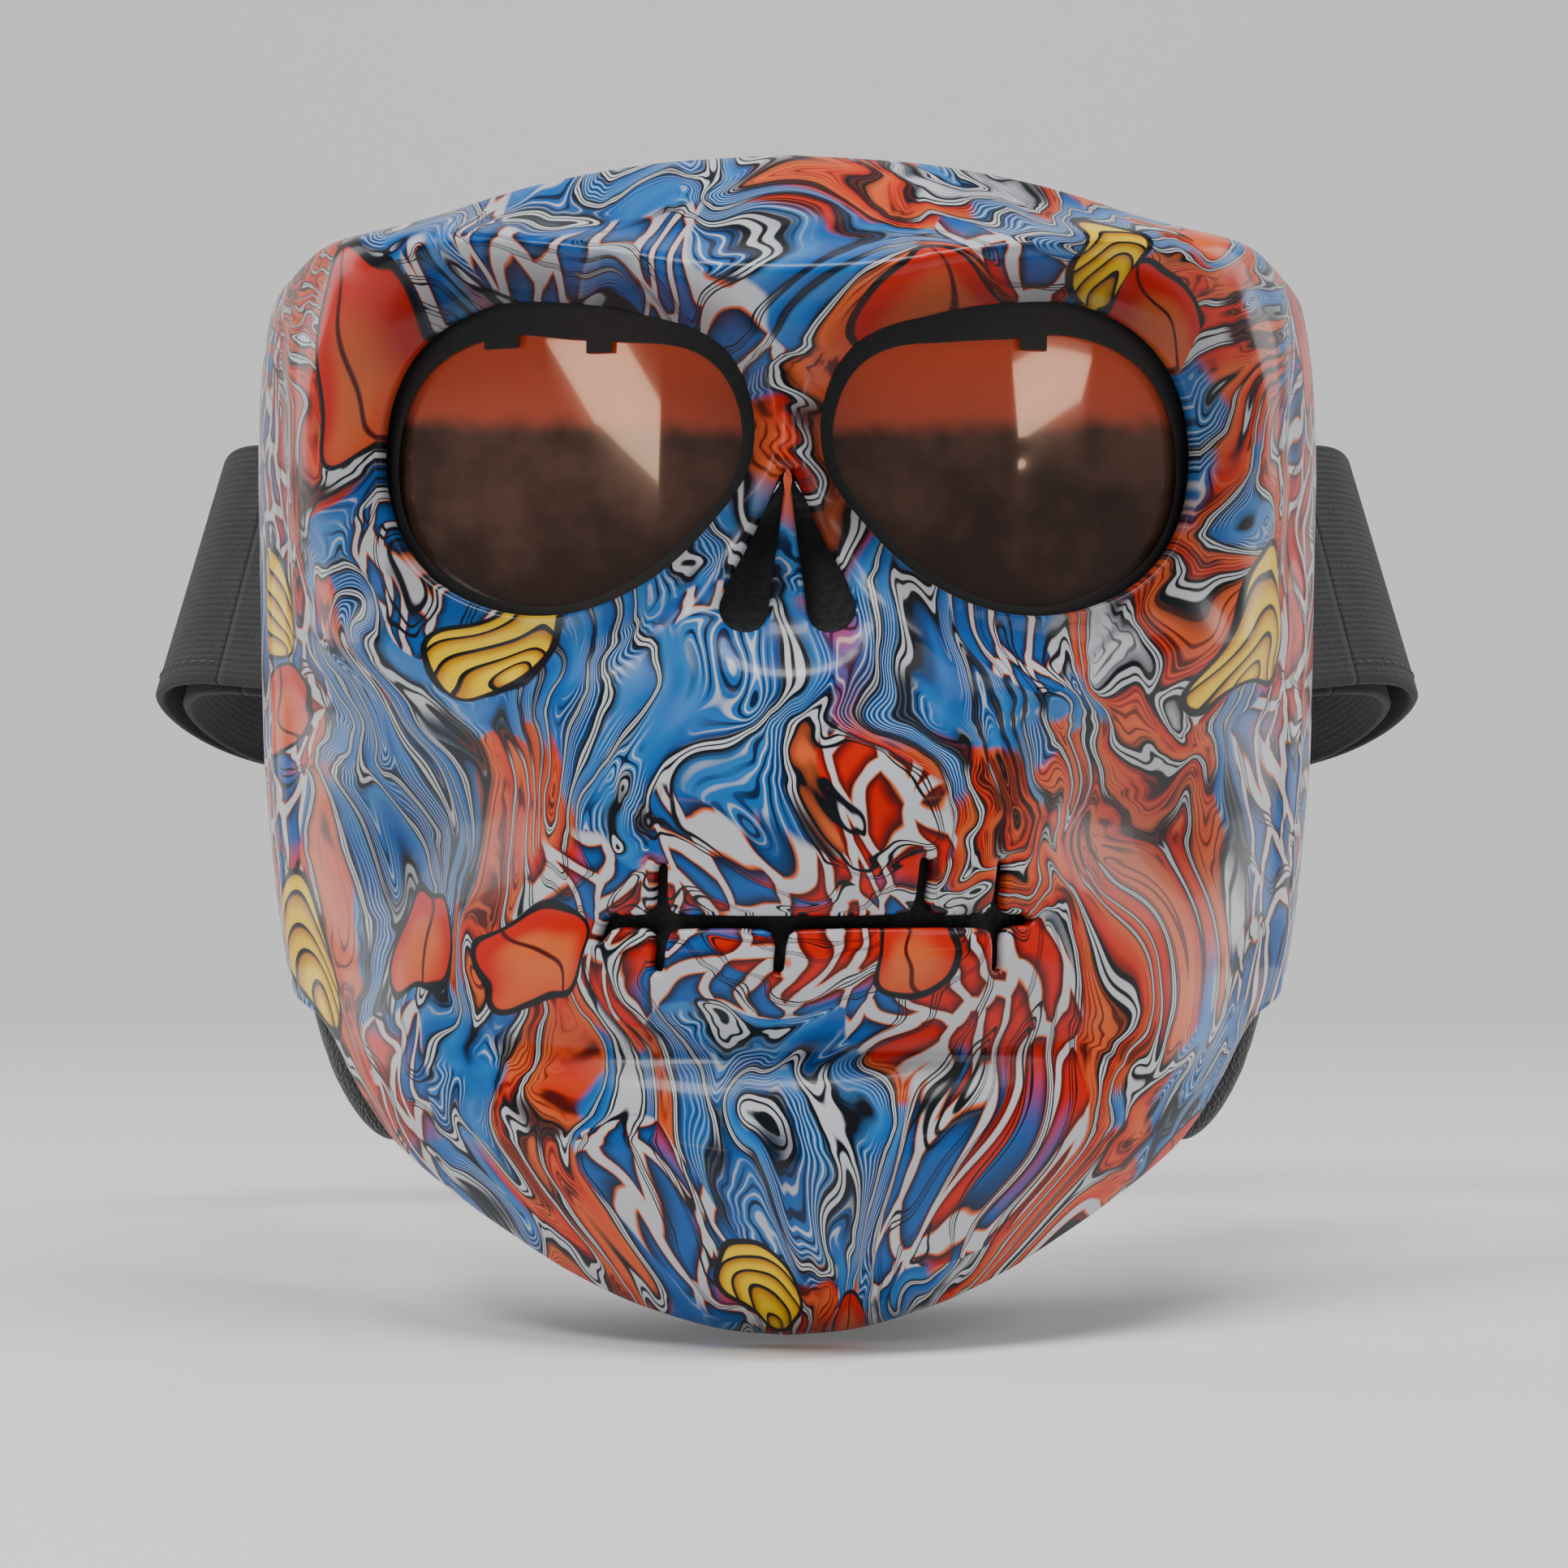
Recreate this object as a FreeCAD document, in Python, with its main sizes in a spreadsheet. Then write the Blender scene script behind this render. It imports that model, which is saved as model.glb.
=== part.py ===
"""Full-face skull mask: a moulded face shell with a snap-in goggle insert, foam padding, breathing filters
and an elastic head strap on pivoting clips. Millimetres.

Frame: +X is the viewer's right when facing the mask, +Y runs back towards the wearer, +Z is up. The origin
is on the mask's mid-plane at eye height, where the bridge of the wearer's nose comes. The left parts are on
the -X side.
"""
import FreeCAD
import Part

import math
import os

import Sketcher

Vector = FreeCAD.Vector

# alias: (value, meaning). Lengths in mm, angles in degrees.
SIZES = {
    "shell_wall": (3.0, "wall of the moulded face shell"),
    "shell_columns": (96, "surface spans across the shell"),
    "shell_rows": (66, "surface spans down the shell"),
    "lens_radius": (110.0, "outer radius of the cylinder both lenses lie on"),
    "lens_front": (-42.0, "Y of that cylinder on the mid-plane"),
    "lens_wall": (2.2, "lens thickness"),
    "lens_overlap": (0.8, "how far a lens reaches past the eye opening"),
    "socket_step": (4.7, "from the lens face forward to the shell's edge around an eye"),
    "rim_reach": (3.2, "how far the goggle frame reaches past the eye opening"),
    "rim_depth": (7.8, "goggle frame depth, front to back"),
    "rim_lip": (1.15, "thickness of the frame's lips"),
    "gasket_wall": (2.0, "gasket thickness"),
    "seal_depth": (12.0, "thickness of the face foam"),
    "pad_gap": (0.4, "clearance between the shell and a glued pad"),
    "forehead_foam": (9.0, "forehead pad thickness"),
    "cheek_foam": (10.0, "cheek pad thickness"),
    "jaw_foam": (7.0, "jaw pad thickness"),
    "chin_foam": (8.0, "chin pad thickness"),
    "filter_foam": (3.5, "nose and mouth filter thickness"),
    "filter_plate": (2.2, "thickness of the frame behind the mouth filter"),
    "strap_width": (52.0, "elastic strap width"),
    "strap_wall": (2.0, "elastic strap thickness"),
    "strap_layer": (2.9, "from the strap's mid-line to the middle of each of its two layers"),
    "strap_flare": (15.0, "lean of the strap's width from upright, lower edge outwards"),
    "strap_droop": (8.0, "how far the strap loop hangs back and down"),
    "strap_heading": (38.0, "angle by which the strap leaves the clip outwards"),
    "strap_start_x": (76.0, "X of the clip's strap bar"),
    "strap_origin_y": (52.0, "Y of the clip's strap bar"),
    "strap_origin_z": (-13.0, "Z of the middle of the strap at the clip"),
    "strap_bend": (50.0, "radius of the strap loop's side bends"),
    "strap_flat": (70.0, "half length of the straight run across the back"),
    "strap_free": (6.8, "from the strap bar to where the long strap starts"),
    "loop_leg": (6.0, "length of the strap's fold past the bar"),
    "slider_length": (20.0, "adjuster length along the strap"),
    "slider_height": (60.0, "adjuster height across the strap"),
    "slider_place": (38.0, "X of an adjuster at rest"),
    "slider_back": (-1.3, "inner face of the adjuster"),
    "slider_face": (6.1, "outer face of the adjuster"),
    "slider_slot_low": (1.5, "inner side of the passage for the strap"),
    "slider_slot_high": (4.3, "outer side of the passage for the strap"),
    "slider_clear": (26.7, "half height of the passage"),
    "slider_end_bar": (4.0, "width of an adjuster's end bar"),
    "slider_mid_bar": (5.0, "width of its centre bar"),
    "slider_round": (1.0, "corner radius of the adjuster"),
    "pin_radius": (1.5, "hinge pin radius"),
    "pin_half": (35.0, "half length of the hinge pin"),
    "pin_reach": (9.0, "from the strap bar forward to the hinge pin"),
    "barrel_radius": (3.2, "clip barrel radius"),
    "barrel_bore": (1.56, "bore radius of barrel and lugs"),
    "bar_radius": (1.6, "strap bar radius"),
    "clip_half": (30.5, "half height of the clip"),
    "clip_leg": (3.2, "height of each of the clip's legs"),
    "lug_wall": (4.0, "height of each anchor lug"),
    "plate_inner": (86.5, "X of the anchor plate's inner face"),
    "plate_wall": (3.0, "anchor plate thickness"),
    "plate_front": (17.0, "Y of the anchor plate's front edge"),
    "plate_foot_back": (33.0, "Y of its rear edge at the bottom"),
    "plate_head_back": (45.0, "Y of its rear edge at the top"),
    "plate_low": (-38.0, "bottom of the anchor plate from the strap's middle"),
    "plate_high": (41.0, "top of the anchor plate from the strap's middle"),
    "screw_shank": (1.25, "screw shank radius"),
    "screw_head": (2.8, "screw head radius"),
    "screw_cap": (1.8, "screw head height"),
    "screw_length": (7.0, "screw shank length"),
    "boss_radius": (3.4, "screw boss radius"),
    "pilot_radius": (1.3, "hole radius in boss and plate"),
    "pilot_depth": (5.2, "depth of a boss's hole"),
}

# The shell's section at height z: half width, front, rear and squareness, as (z, value) stations.
HALF_WIDTH = [(-150, 50), (-140, 60), (-128, 72), (-116, 83), (-104, 90.5), (-90, 95), (-70, 98), (-45, 100),
              (0, 100.5), (16, 99.8), (31, 97.3), (40, 92.5), (47, 84), (56, 70)]
FRONT = [(-150, -40), (-143, -50), (-130, -59), (-115, -62), (-98, -61), (-80, -63), (-60, -63), (-40, -60),
         (-20, -57), (0, -54), (15, -54), (28, -58), (38, -50), (47, -36), (56, -20)]
REAR = [(-150, 14), (-130, 24), (-116, 34), (-104, 43), (-96, 50), (-88, 56), (-40, 57), (20, 57), (40, 50), (56, 38)]
SQUARENESS = [(-150, 0), (-120, 0.02), (-98, -0.02), (-80, -0.04), (-60, -0.08), (-35, -0.10), (-15, -0.03),
              (0, 0.05), (28, 0.13), (56, 0.13)]
# The shell's upper and lower edge, as (angle round the face in degrees, z) stations.
TOP_EDGE = [(0, 53.5), (14, 52), (25, 49.2), (34, 46.2), (43, 40.4), (51, 38.7), (62, 36), (72, 33.5), (84, 31.5),
            (90, 25)]
BOTTOM_EDGE = [(0, -150), (10, -149.3), (24, -145.3), (36, -139.4), (49, -129.8), (56, -124.5), (60, -119),
               (63, -112), (67, -103), (71, -97), (80, -94), (86, -91.5), (90, -86)]
# The eye opening seen from the front: its centre, and every 30 degrees from +X its radius, the width of the
# socket's slope around it, and the width of frame lip that shows inside it.
EYE_CENTRE = (38.0, 0.0)
EYE_RADIUS = [32.8, 32.5, 28.5, 24.8, 26.0, 31.8, 31.4, 26.8, 25.6, 26.9, 29.4, 32.4]
SOCKET_SLOPE = [11, 13, 12, 9.5, 9, 7, 5.5, 8, 11, 13, 13, 12]
LIP_SHOWN = [3.2, 4.0, 4.8, 5.0, 4.2, 2.2, 1.2, 1.2, 1.2, 1.3, 1.8, 2.6]
LENS_TABS = [(-49.0, 6.0), (-32.0, 4.4), (42.0, 4.6)]  # X and width of the tabs over the lenses' top edges

MOUTH_Z = -78.6
MOUTH_LEFT, MOUTH_RIGHT = -30.0, 41.5
MOUTH_HALF = 1.1
STITCHES = [(-20.0, 10.0, 9.0), (-1.0, 1.0, 9.0), (21.0, 11.0, 1.0), (34.5, 10.5, 9.0)]  # X, up, down
STITCH_HALF = 1.2

NOSE_TOP = (1.6, -5.5)
NOSE_FOOT = (7.2, -26.5)
NOSE_TOP_RADIUS, NOSE_FOOT_RADIUS = 1.8, 4.1

FILTER_SCREWS = [(-30.0, -67.0), (30.0, -67.0), (-30.0, -90.0), (30.0, -90.0)]  # angle round the face, Z
ANCHOR_SCREWS = [(22.0, 20.0), (35.0, 20.0), (21.0, -20.0), (30.0, -20.0)]  # Y, height above the strap's middle
SIDES = {"left": -1, "right": 1}

os.makedirs("parts", exist_ok=True)
doc = FreeCAD.newDocument("SkullMask")
sheet = doc.addObject("Spreadsheet::Sheet", "sizes")
for row, (alias, (value, meaning)) in enumerate(SIZES.items(), start=1):
    sheet.set(f"A{row}", alias)
    sheet.set(f"B{row}", str(value))
    sheet.setAlias(f"B{row}", alias)
    sheet.set(f"C{row}", meaning)
doc.recompute()
nodes = []


class Size:
    """A number with the expression over the sheet's cells that gives it."""

    def __init__(self, number, text=None):
        self.number = float(number)
        self.text = text or f"({number})"

    @staticmethod
    def of(value):
        return value if isinstance(value, Size) else Size(value)

    def __add__(self, other):
        other = Size.of(other)
        return Size(self.number + other.number, f"({self.text} + {other.text})")

    def __sub__(self, other):
        other = Size.of(other)
        return Size(self.number - other.number, f"({self.text} - {other.text})")

    def __mul__(self, other):
        other = Size.of(other)
        return Size(self.number * other.number, f"({self.text} * {other.text})")

    def __neg__(self):
        return self * -1

    __radd__ = __add__
    __rmul__ = __mul__


def size(alias):
    return Size(SIZES[alias][0], f"sizes.{alias}")


def number(alias):
    return float(SIZES[alias][0])


def cosine(angle):
    return Size(math.cos(math.radians(angle.number)), f"cos({angle.text})")


def sine(angle):
    return Size(math.sin(math.radians(angle.number)), f"sin({angle.text})")


# ---- the shell's surface -------------------------------------------------------------------------------

def through(stations, at):
    """A smooth curve through (position, value) stations, with flat-limited slopes so that it never overshoots."""
    last = len(stations) - 1
    if at <= stations[0][0]:
        return float(stations[0][1])
    if at >= stations[last][0]:
        return float(stations[last][1])
    slopes = [(b[1] - a[1]) / (b[0] - a[0]) for a, b in zip(stations, stations[1:])]

    def tangent(k):
        if k in (0, last):
            return slopes[0] if k == 0 else slopes[-1]
        before, after = slopes[k - 1], slopes[k]
        return 0.0 if before * after <= 0 else 2 * before * after / (before + after)

    k = max(i for i in range(last) if stations[i][0] <= at)
    (low, from_value), (high, to_value) = stations[k], stations[k + 1]
    span = high - low
    share = (at - low) / span
    square, cube = share ** 2, share ** 3
    return (from_value * (2 * cube - 3 * square + 1) + to_value * (3 * square - 2 * cube)
            + span * (tangent(k) * (cube - 2 * square + share) + tangent(k + 1) * (cube - square)))


def round_the_eye(values, angle):
    """A smooth closed curve through values given at even steps of angle."""
    count = len(values)
    place = (angle / (2 * math.pi) * count) % count
    k, share = int(place), place % 1.0
    before, here, after, beyond = (values[(k + i) % count] for i in (-1, 0, 1, 2))
    return 0.5 * (2 * here + (after - before) * share
                  + (2 * before - 5 * here + 4 * after - beyond) * share ** 2
                  + (3 * here - before - 3 * after + beyond) * share ** 3)


def smooth(share):
    share = min(1.0, max(0.0, share))
    return share * share * (3 - 2 * share)


def hump(*offsets, power=2):
    """A bell of height 1; each offset is a distance from its middle over its width."""
    return math.exp(-sum(abs(offset) ** power for offset in offsets))


def relief(x, z, angle):
    """How far the face stands out from the plain section at distance x from the mid-plane and height z."""
    temple = smooth((90 - x) / 22)
    brow = 4.0 * hump((z - 27.5 - 6 * (x / 65) ** 2) / 5.5) * temple
    orbit = 3.0 * hump((x - 81) / 7, (z + 1) / 29, power=4)
    cheekbone = 3.2 * hump((x - 70) / 17, (z + 30) / 10) + 2.4 * hump((x - 40) / 20, (z + 40) / 8)
    hollow = -4.5 * hump((x - 60) / 16, (z + 66) / 18)
    muzzle = 4.0 * hump(x / 38, (z + 70) / 30, power=4)
    crease = -3.0 * hump((z + 99) / 5) * hump(x / 44, power=4)
    chin = 4.5 * hump(x / 30, (z + 120) / 15)
    lips = -1.6 * hump((z - MOUTH_Z) / 4.5) * hump(x / 46, power=4)
    nose = 3.5 * hump(x / 8, (z + 2) / 8) - 5.0 * hump(x / 12, (z + 20) / 14, power=4)
    wing_distance = math.hypot(x / 18, (z + 20) / 19)
    wings = 2.4 * hump((wing_distance - 1) / 0.25) * smooth((2 - z) / 12)
    side_edge = 1.8 * hump((angle - 68) / 4) * smooth((-8 - z) / 14)
    return (brow + orbit + cheekbone + hollow + muzzle + crease + chin + lips + nose + wings + side_edge)


def lens_face(x, outward=0.0):
    """Y at x of the lenses' outer face, or of a cylinder a step outward of it."""
    radius = number("lens_radius")
    return number("lens_front") + radius - math.sqrt((radius + outward) ** 2 - x ** 2)


def outward_at(angle, z):
    """The level direction that points out of the plain section at an angle round the face and a height."""
    turn = math.radians(abs(angle))
    sign = -1.0 if angle < 0 else 1.0
    half = through(HALF_WIDTH, z)
    depth = through(REAR, z) - through(FRONT, z)
    square = through(SQUARENESS, z)
    along_x = half * math.cos(turn) * (1 + square * (math.cos(turn) ** 2 - 2 * math.sin(turn) ** 2))
    along_y = depth * math.sin(turn) * (1 + square * (math.sin(turn) ** 2 - 2 * math.cos(turn) ** 2))
    outward = Vector(sign * along_y, -along_x, 0)
    return outward.normalize()


def shell_point(angle, z, inward=0.0):
    """A point of the shell's outer face, or one that lies inward of it, at an angle round the face and a height."""
    turn = math.radians(abs(angle))
    sign = -1.0 if angle < 0 else 1.0
    outward = outward_at(angle, z)
    half, rear = through(HALF_WIDTH, z), through(REAR, z)
    depth = rear - through(FRONT, z)
    square = through(SQUARENESS, z)
    x = half * math.sin(turn) * (1 + square * math.cos(turn) ** 2)
    y = rear - depth * math.cos(turn) * (1 + square * math.sin(turn) ** 2)
    raised = relief(x, z, abs(angle))
    point_x, point_y = x + raised * sign * outward.x, y + raised * outward.y
    around = math.atan2(z - EYE_CENTRE[1], x - EYE_CENTRE[0])
    clear = math.hypot(x - EYE_CENTRE[0], z - EYE_CENTRE[1]) - round_the_eye(EYE_RADIUS, around)
    rise = smooth(clear / round_the_eye(SOCKET_SLOPE, around))
    rim_y = lens_face(min(x, 90.0), number("socket_step"))
    point_x = x + (point_x - x) * rise
    point_y = rim_y + (point_y - rim_y) * rise
    return Vector(sign * point_x, point_y, z) - outward * inward


def patch(angles, rows, low_edge, high_edge, outer, inner):
    """A closed solid between two offsets of the shell's face, over a range of angles and between two edges."""
    columns = len(angles)

    def face_at(inward):
        grid = []
        for angle in angles:
            low, high = low_edge(angle), high_edge(angle)
            grid.append([shell_point(angle, low + (high - low) * row / rows, inward) for row in range(rows + 1)])
        surface = Part.BSplineSurface()
        surface.interpolate(grid)
        return surface

    front, back = face_at(outer), face_at(inner)
    faces = [front.toShape(), back.toShape()]
    first_u, last_u, first_v, last_v = front.bounds()
    back_first_u, back_last_u, back_first_v, back_last_v = back.bounds()
    edges = [(front.uIso(first_u), back.uIso(back_first_u)), (front.uIso(last_u), back.uIso(back_last_u)),
             (front.vIso(first_v), back.vIso(back_first_v)), (front.vIso(last_v), back.vIso(back_last_v))]
    for near, far in edges:
        faces.append(Part.makeRuledSurface(near.toShape(), far.toShape()))
    shell = Part.makeShell(faces)
    shell.sewShape(0.001)
    solid = Part.Solid(Part.Shell(shell.Faces))
    if solid.Volume < 0:
        solid.reverse()
    if columns < 2 or not solid.isValid():
        raise RuntimeError("a patch of the shell isn't a valid solid")
    return solid


def evenly(low, high, spans):
    return [low + (high - low) * k / spans for k in range(spans + 1)]


# ---- outlines seen from the front ----------------------------------------------------------------------

FRONT_PLANE_Y = -100.0
FRONT_REACH = 120.0


def eye_wire(side, offset, points=36):
    """The eye opening's outline in front of the mask, moved outwards by a length or by a list round the eye."""
    outline = []
    for k in range(points):
        around = 2 * math.pi * k / points
        moved = offset if isinstance(offset, (int, float)) else round_the_eye(offset, around)
        radius = round_the_eye(EYE_RADIUS, around) + moved
        outline.append(Vector(side * (EYE_CENTRE[0] + radius * math.cos(around)), FRONT_PLANE_Y,
                              EYE_CENTRE[1] + radius * math.sin(around)))
    curve = Part.BSplineCurve()
    curve.interpolate(outline, PeriodicFlag=True)
    return Part.Wire([curve.toShape()])


def prism(wire):
    """The solid that a front outline sweeps straight back through the mask."""
    return Part.Face(wire).extrude(Vector(0, FRONT_REACH, 0))


def nostril_wire(side):
    """A long drop: a small circle at the top and a larger one at the foot, joined by their common tangents."""
    top, foot = Vector(NOSE_TOP[0], 0, NOSE_TOP[1]), Vector(NOSE_FOOT[0], 0, NOSE_FOOT[1])
    along = top - foot
    length = along.Length
    along.normalize()
    across = Vector(along.z, 0, -along.x)
    lean = math.asin((NOSE_FOOT_RADIUS - NOSE_TOP_RADIUS) / length)
    rays = [across * (sign * math.cos(lean)) + along * math.sin(lean) for sign in (1, -1)]

    def place(point):
        return Vector(side * point.x, FRONT_PLANE_Y, point.z)

    right_top, left_top = (top + ray * NOSE_TOP_RADIUS for ray in rays)
    right_foot, left_foot = (foot + ray * NOSE_FOOT_RADIUS for ray in rays)
    return Part.Wire([
        Part.Arc(place(left_top), place(top + along * NOSE_TOP_RADIUS), place(right_top)).toShape(),
        Part.LineSegment(place(right_top), place(right_foot)).toShape(),
        Part.Arc(place(right_foot), place(foot - along * NOSE_FOOT_RADIUS), place(left_foot)).toShape(),
        Part.LineSegment(place(left_foot), place(left_top)).toShape()])


def slot_cutter(x_low, x_high, z_low, z_high):
    """A front-to-back cutter with a rounded-end slot's outline."""
    block = Part.makeBox(x_high - x_low, FRONT_REACH, z_high - z_low, Vector(x_low, FRONT_PLANE_Y, z_low))
    radius = 0.45 * min(x_high - x_low, z_high - z_low)
    return block.makeFillet(radius, [edge for edge in block.Edges if abs(edge.tangentAt(edge.FirstParameter).y) > 0.9])


def wrapped(region, inner_radius, outer_radius):
    """The part of a front-to-back prism between two radii about the lenses' upright axis."""
    axis_foot = Vector(0, number("lens_front") + number("lens_radius"), -200)
    ring = Part.makeCylinder(outer_radius, 400, axis_foot)
    return region.common(ring).cut(Part.makeCylinder(inner_radius, 400, axis_foot))


def on_side(shape, side):
    """The shape as built for the right side, or its mirror image for the left."""
    return shape if side > 0 else shape.mirror(Vector(0, 0, 0), Vector(1, 0, 0))


def add_shape(label, shape):
    """A sub-part whose shape is worked out above from the sheet's sizes."""
    feature = doc.addObject("Part::Feature", label)
    feature.Shape = shape.removeSplitter() if len(shape.Solids) == 1 else shape
    feature.Label = label
    nodes.append(feature)
    return feature


# ---- shell, goggle insert and padding ------------------------------------------------------------------

def boss(start, direction, length):
    return Part.makeCylinder(number("boss_radius"), length, start, direction)


def make_face_shell():
    """The moulded shell: the face surface with eye, nose and mouth openings, and bosses on its inside."""
    angles = evenly(-90, 90, int(number("shell_columns")))
    shell = patch(angles, int(number("shell_rows")), lambda angle: through(BOTTOM_EDGE, abs(angle)),
                  lambda angle: through(TOP_EDGE, abs(angle)), 0.0, number("shell_wall"))
    bosses, pilots = [], []
    plate_outer = number("plate_inner") + number("plate_wall")
    for side in SIDES.values():
        for y, height in ANCHOR_SCREWS:
            z = number("strap_origin_z") + height
            wall_x = min(shell_point(angle, z, number("shell_wall")).x for angle in evenly(60, 88, 56)
                         if shell_point(angle, z, number("shell_wall")).y > y)
            start = Vector(side * plate_outer, y, z)
            bosses.append(boss(start, Vector(side, 0, 0), wall_x - plate_outer + 1.6))
            pilots.append(Part.makeCylinder(number("pilot_radius"), number("pilot_depth"), start, Vector(side, 0, 0)))
    seat = filter_frame_front() - 1.0
    for angle, z in FILTER_SCREWS:
        start, outward = shell_point(angle, z, seat), outward_at(angle, z)
        bosses.append(boss(start, outward, seat - number("shell_wall") + 1.6))
        pilots.append(Part.makeCylinder(number("pilot_radius"), number("pilot_depth"), start, outward))
    shell = shell.fuse(bosses).cut(pilots)
    cutters = [prism(eye_wire(side, 0.0)) for side in SIDES.values()]
    cutters += [prism(nostril_wire(side)) for side in SIDES.values()]
    cutters.append(slot_cutter(MOUTH_LEFT, MOUTH_RIGHT, MOUTH_Z - MOUTH_HALF, MOUTH_Z + MOUTH_HALF))
    for x, up, down in STITCHES:
        cutters.append(slot_cutter(x - STITCH_HALF, x + STITCH_HALF, MOUTH_Z - down, MOUTH_Z + up))
    for cutter in cutters:
        shell = shell.cut(cutter)
    add_shape("face_shell", shell)


def filter_frame_front():
    """How far the filter frame's front face lies inward of the shell's outer face."""
    return number("shell_wall") + number("pad_gap") + number("filter_foam") + 0.2


def make_goggle_frame():
    """One frame round both lenses, with a groove for lens and gasket, a nose bridge and tabs at the top."""
    outer = number("lens_radius") + number("rim_lip") + 0.15
    inner = outer - number("rim_depth")
    reach = number("rim_reach")
    openings, grooves, blanks = [], [], []
    for side in SIDES.values():
        blanks.append(prism(eye_wire(side, reach)))
        openings.append(prism(eye_wire(side, [-width for width in LIP_SHOWN])))
        grooves.append(prism(eye_wire(side, number("lens_overlap") + 0.4)))
    bridge = Part.makeBox(9, FRONT_REACH, 20, Vector(-4.5, FRONT_PLANE_Y, -5))
    body = wrapped(blanks[0].fuse([blanks[1], bridge]), inner, outer)
    for opening, groove in zip(openings, grooves):
        body = body.cut(opening)
        body = body.cut(wrapped(groove, inner + number("rim_lip"), outer - number("rim_lip")))
    for x, width in LENS_TABS:
        around = math.acos((abs(x) - EYE_CENTRE[0]) / 27.0)
        top = round_the_eye(EYE_RADIUS, around) - round_the_eye(LIP_SHOWN, around)
        tab = Part.makeBox(width, FRONT_REACH, 4.0, Vector(x - width / 2, FRONT_PLANE_Y, top * math.sin(around) - 2.2))
        body = body.fuse(wrapped(tab, outer - number("rim_lip"), outer))
    add_shape("goggle_frame", body)
    lens_outer = number("lens_radius") - 0.1
    lens_inner = lens_outer - number("lens_wall")
    gasket_outer = lens_inner - 0.1
    lens = wrapped(prism(eye_wire(1, number("lens_overlap"))), lens_inner, lens_outer)
    ring = prism(eye_wire(1, number("lens_overlap"))).cut(prism(eye_wire(1, -2.4)))
    gasket = wrapped(ring, gasket_outer - number("gasket_wall"), gasket_outer)
    for name, side in SIDES.items():
        add_shape(f"lens_{name}", on_side(lens, side))
        add_shape(f"lens_gasket_{name}", on_side(gasket, side))
    seal = prism(eye_wire(-1, reach)).fuse([prism(eye_wire(1, reach)), bridge])
    for side in SIDES.values():
        seal = seal.cut(prism(eye_wire(side, -3.6)))
    seal_outer = inner - 0.15
    add_shape("goggle_foam", wrapped(seal, seal_outer - number("seal_depth"), seal_outer))


def make_padding():
    """Foam pads glued inside the shell, and the filters behind nose and mouth."""
    wall, gap = number("shell_wall"), number("pad_gap")
    start = wall + gap

    def pad(label, low_angle, high_angle, low_edge, high_edge, thickness, spans=14, rows=12, front=start):
        add_shape(label, patch(evenly(low_angle, high_angle, spans), rows, low_edge, high_edge, front,
                               front + thickness))

    pad("forehead_pad", -40, 40, lambda angle: 35.5 - 0.05 * abs(angle), lambda angle: 50 - 10.5 * (angle / 40) ** 2,
        number("forehead_foam"), spans=24)
    for name, side in SIDES.items():
        low, high = sorted((side * 38, side * 62))
        pad(f"cheek_pad_{name}", low, high,
            lambda angle: -90 + 8 * ((abs(angle) - 50) / 12) ** 2,
            lambda angle: -46 - 8 * ((abs(angle) - 50) / 12) ** 2, number("cheek_foam"))
        low, high = sorted((side * 62.5, side * 84))
        pad(f"jaw_pad_{name}", low, high,
            lambda angle: through([(62, -118.5), (66, -119), (72, -118.5), (79, -115), (84, -108)], abs(angle)),
            lambda angle: -84 + 4 * ((abs(angle) - 73) / 11) ** 2, number("jaw_foam"))
    pad("chin_pad", -30, 30, lambda angle: -136 + 8 * (angle / 30) ** 2, lambda angle: -109 - 5 * (angle / 30) ** 2,
        number("chin_foam"))
    pad("nose_filter", -10, 10, lambda angle: -36.0,
        lambda angle: through([(0, -4), (2.5, -4.5), (5, -15), (10, -27)], abs(angle)),
        number("filter_foam") - 1, spans=24, rows=24, front=start + 0.4)
    pad("mouth_filter", -26, 26, lambda angle: -92.0, lambda angle: -65.0, number("filter_foam"), spans=26, rows=20)


def make_filter_frame():
    """A frame behind the mouth filter with a grid of bars, held by four screws."""
    front = filter_frame_front()
    plate = patch(evenly(-34, 34, 34), 30, lambda angle: -97.0, lambda angle: -60.0, front,
                  front + number("filter_plate"))
    windows = []
    for column in range(-2, 3):
        windows.append(Part.makeBox(9.5, FRONT_REACH, 19, Vector(11.5 * column - 4.75, FRONT_PLANE_Y, -88)))
    for angle, z in FILTER_SCREWS:
        windows.append(Part.makeCylinder(number("pilot_radius"), 12, shell_point(angle, z, front + 6),
                                         outward_at(angle, z)))
    for window in windows:
        plate = plate.cut(window)
    add_shape("filter_frame", plate)


# ---- strap hardware ------------------------------------------------------------------------------------

def origin_plane(body, role):
    return next(item for item in body.Origin.OriginFeatures if item.Role == role)


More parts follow.
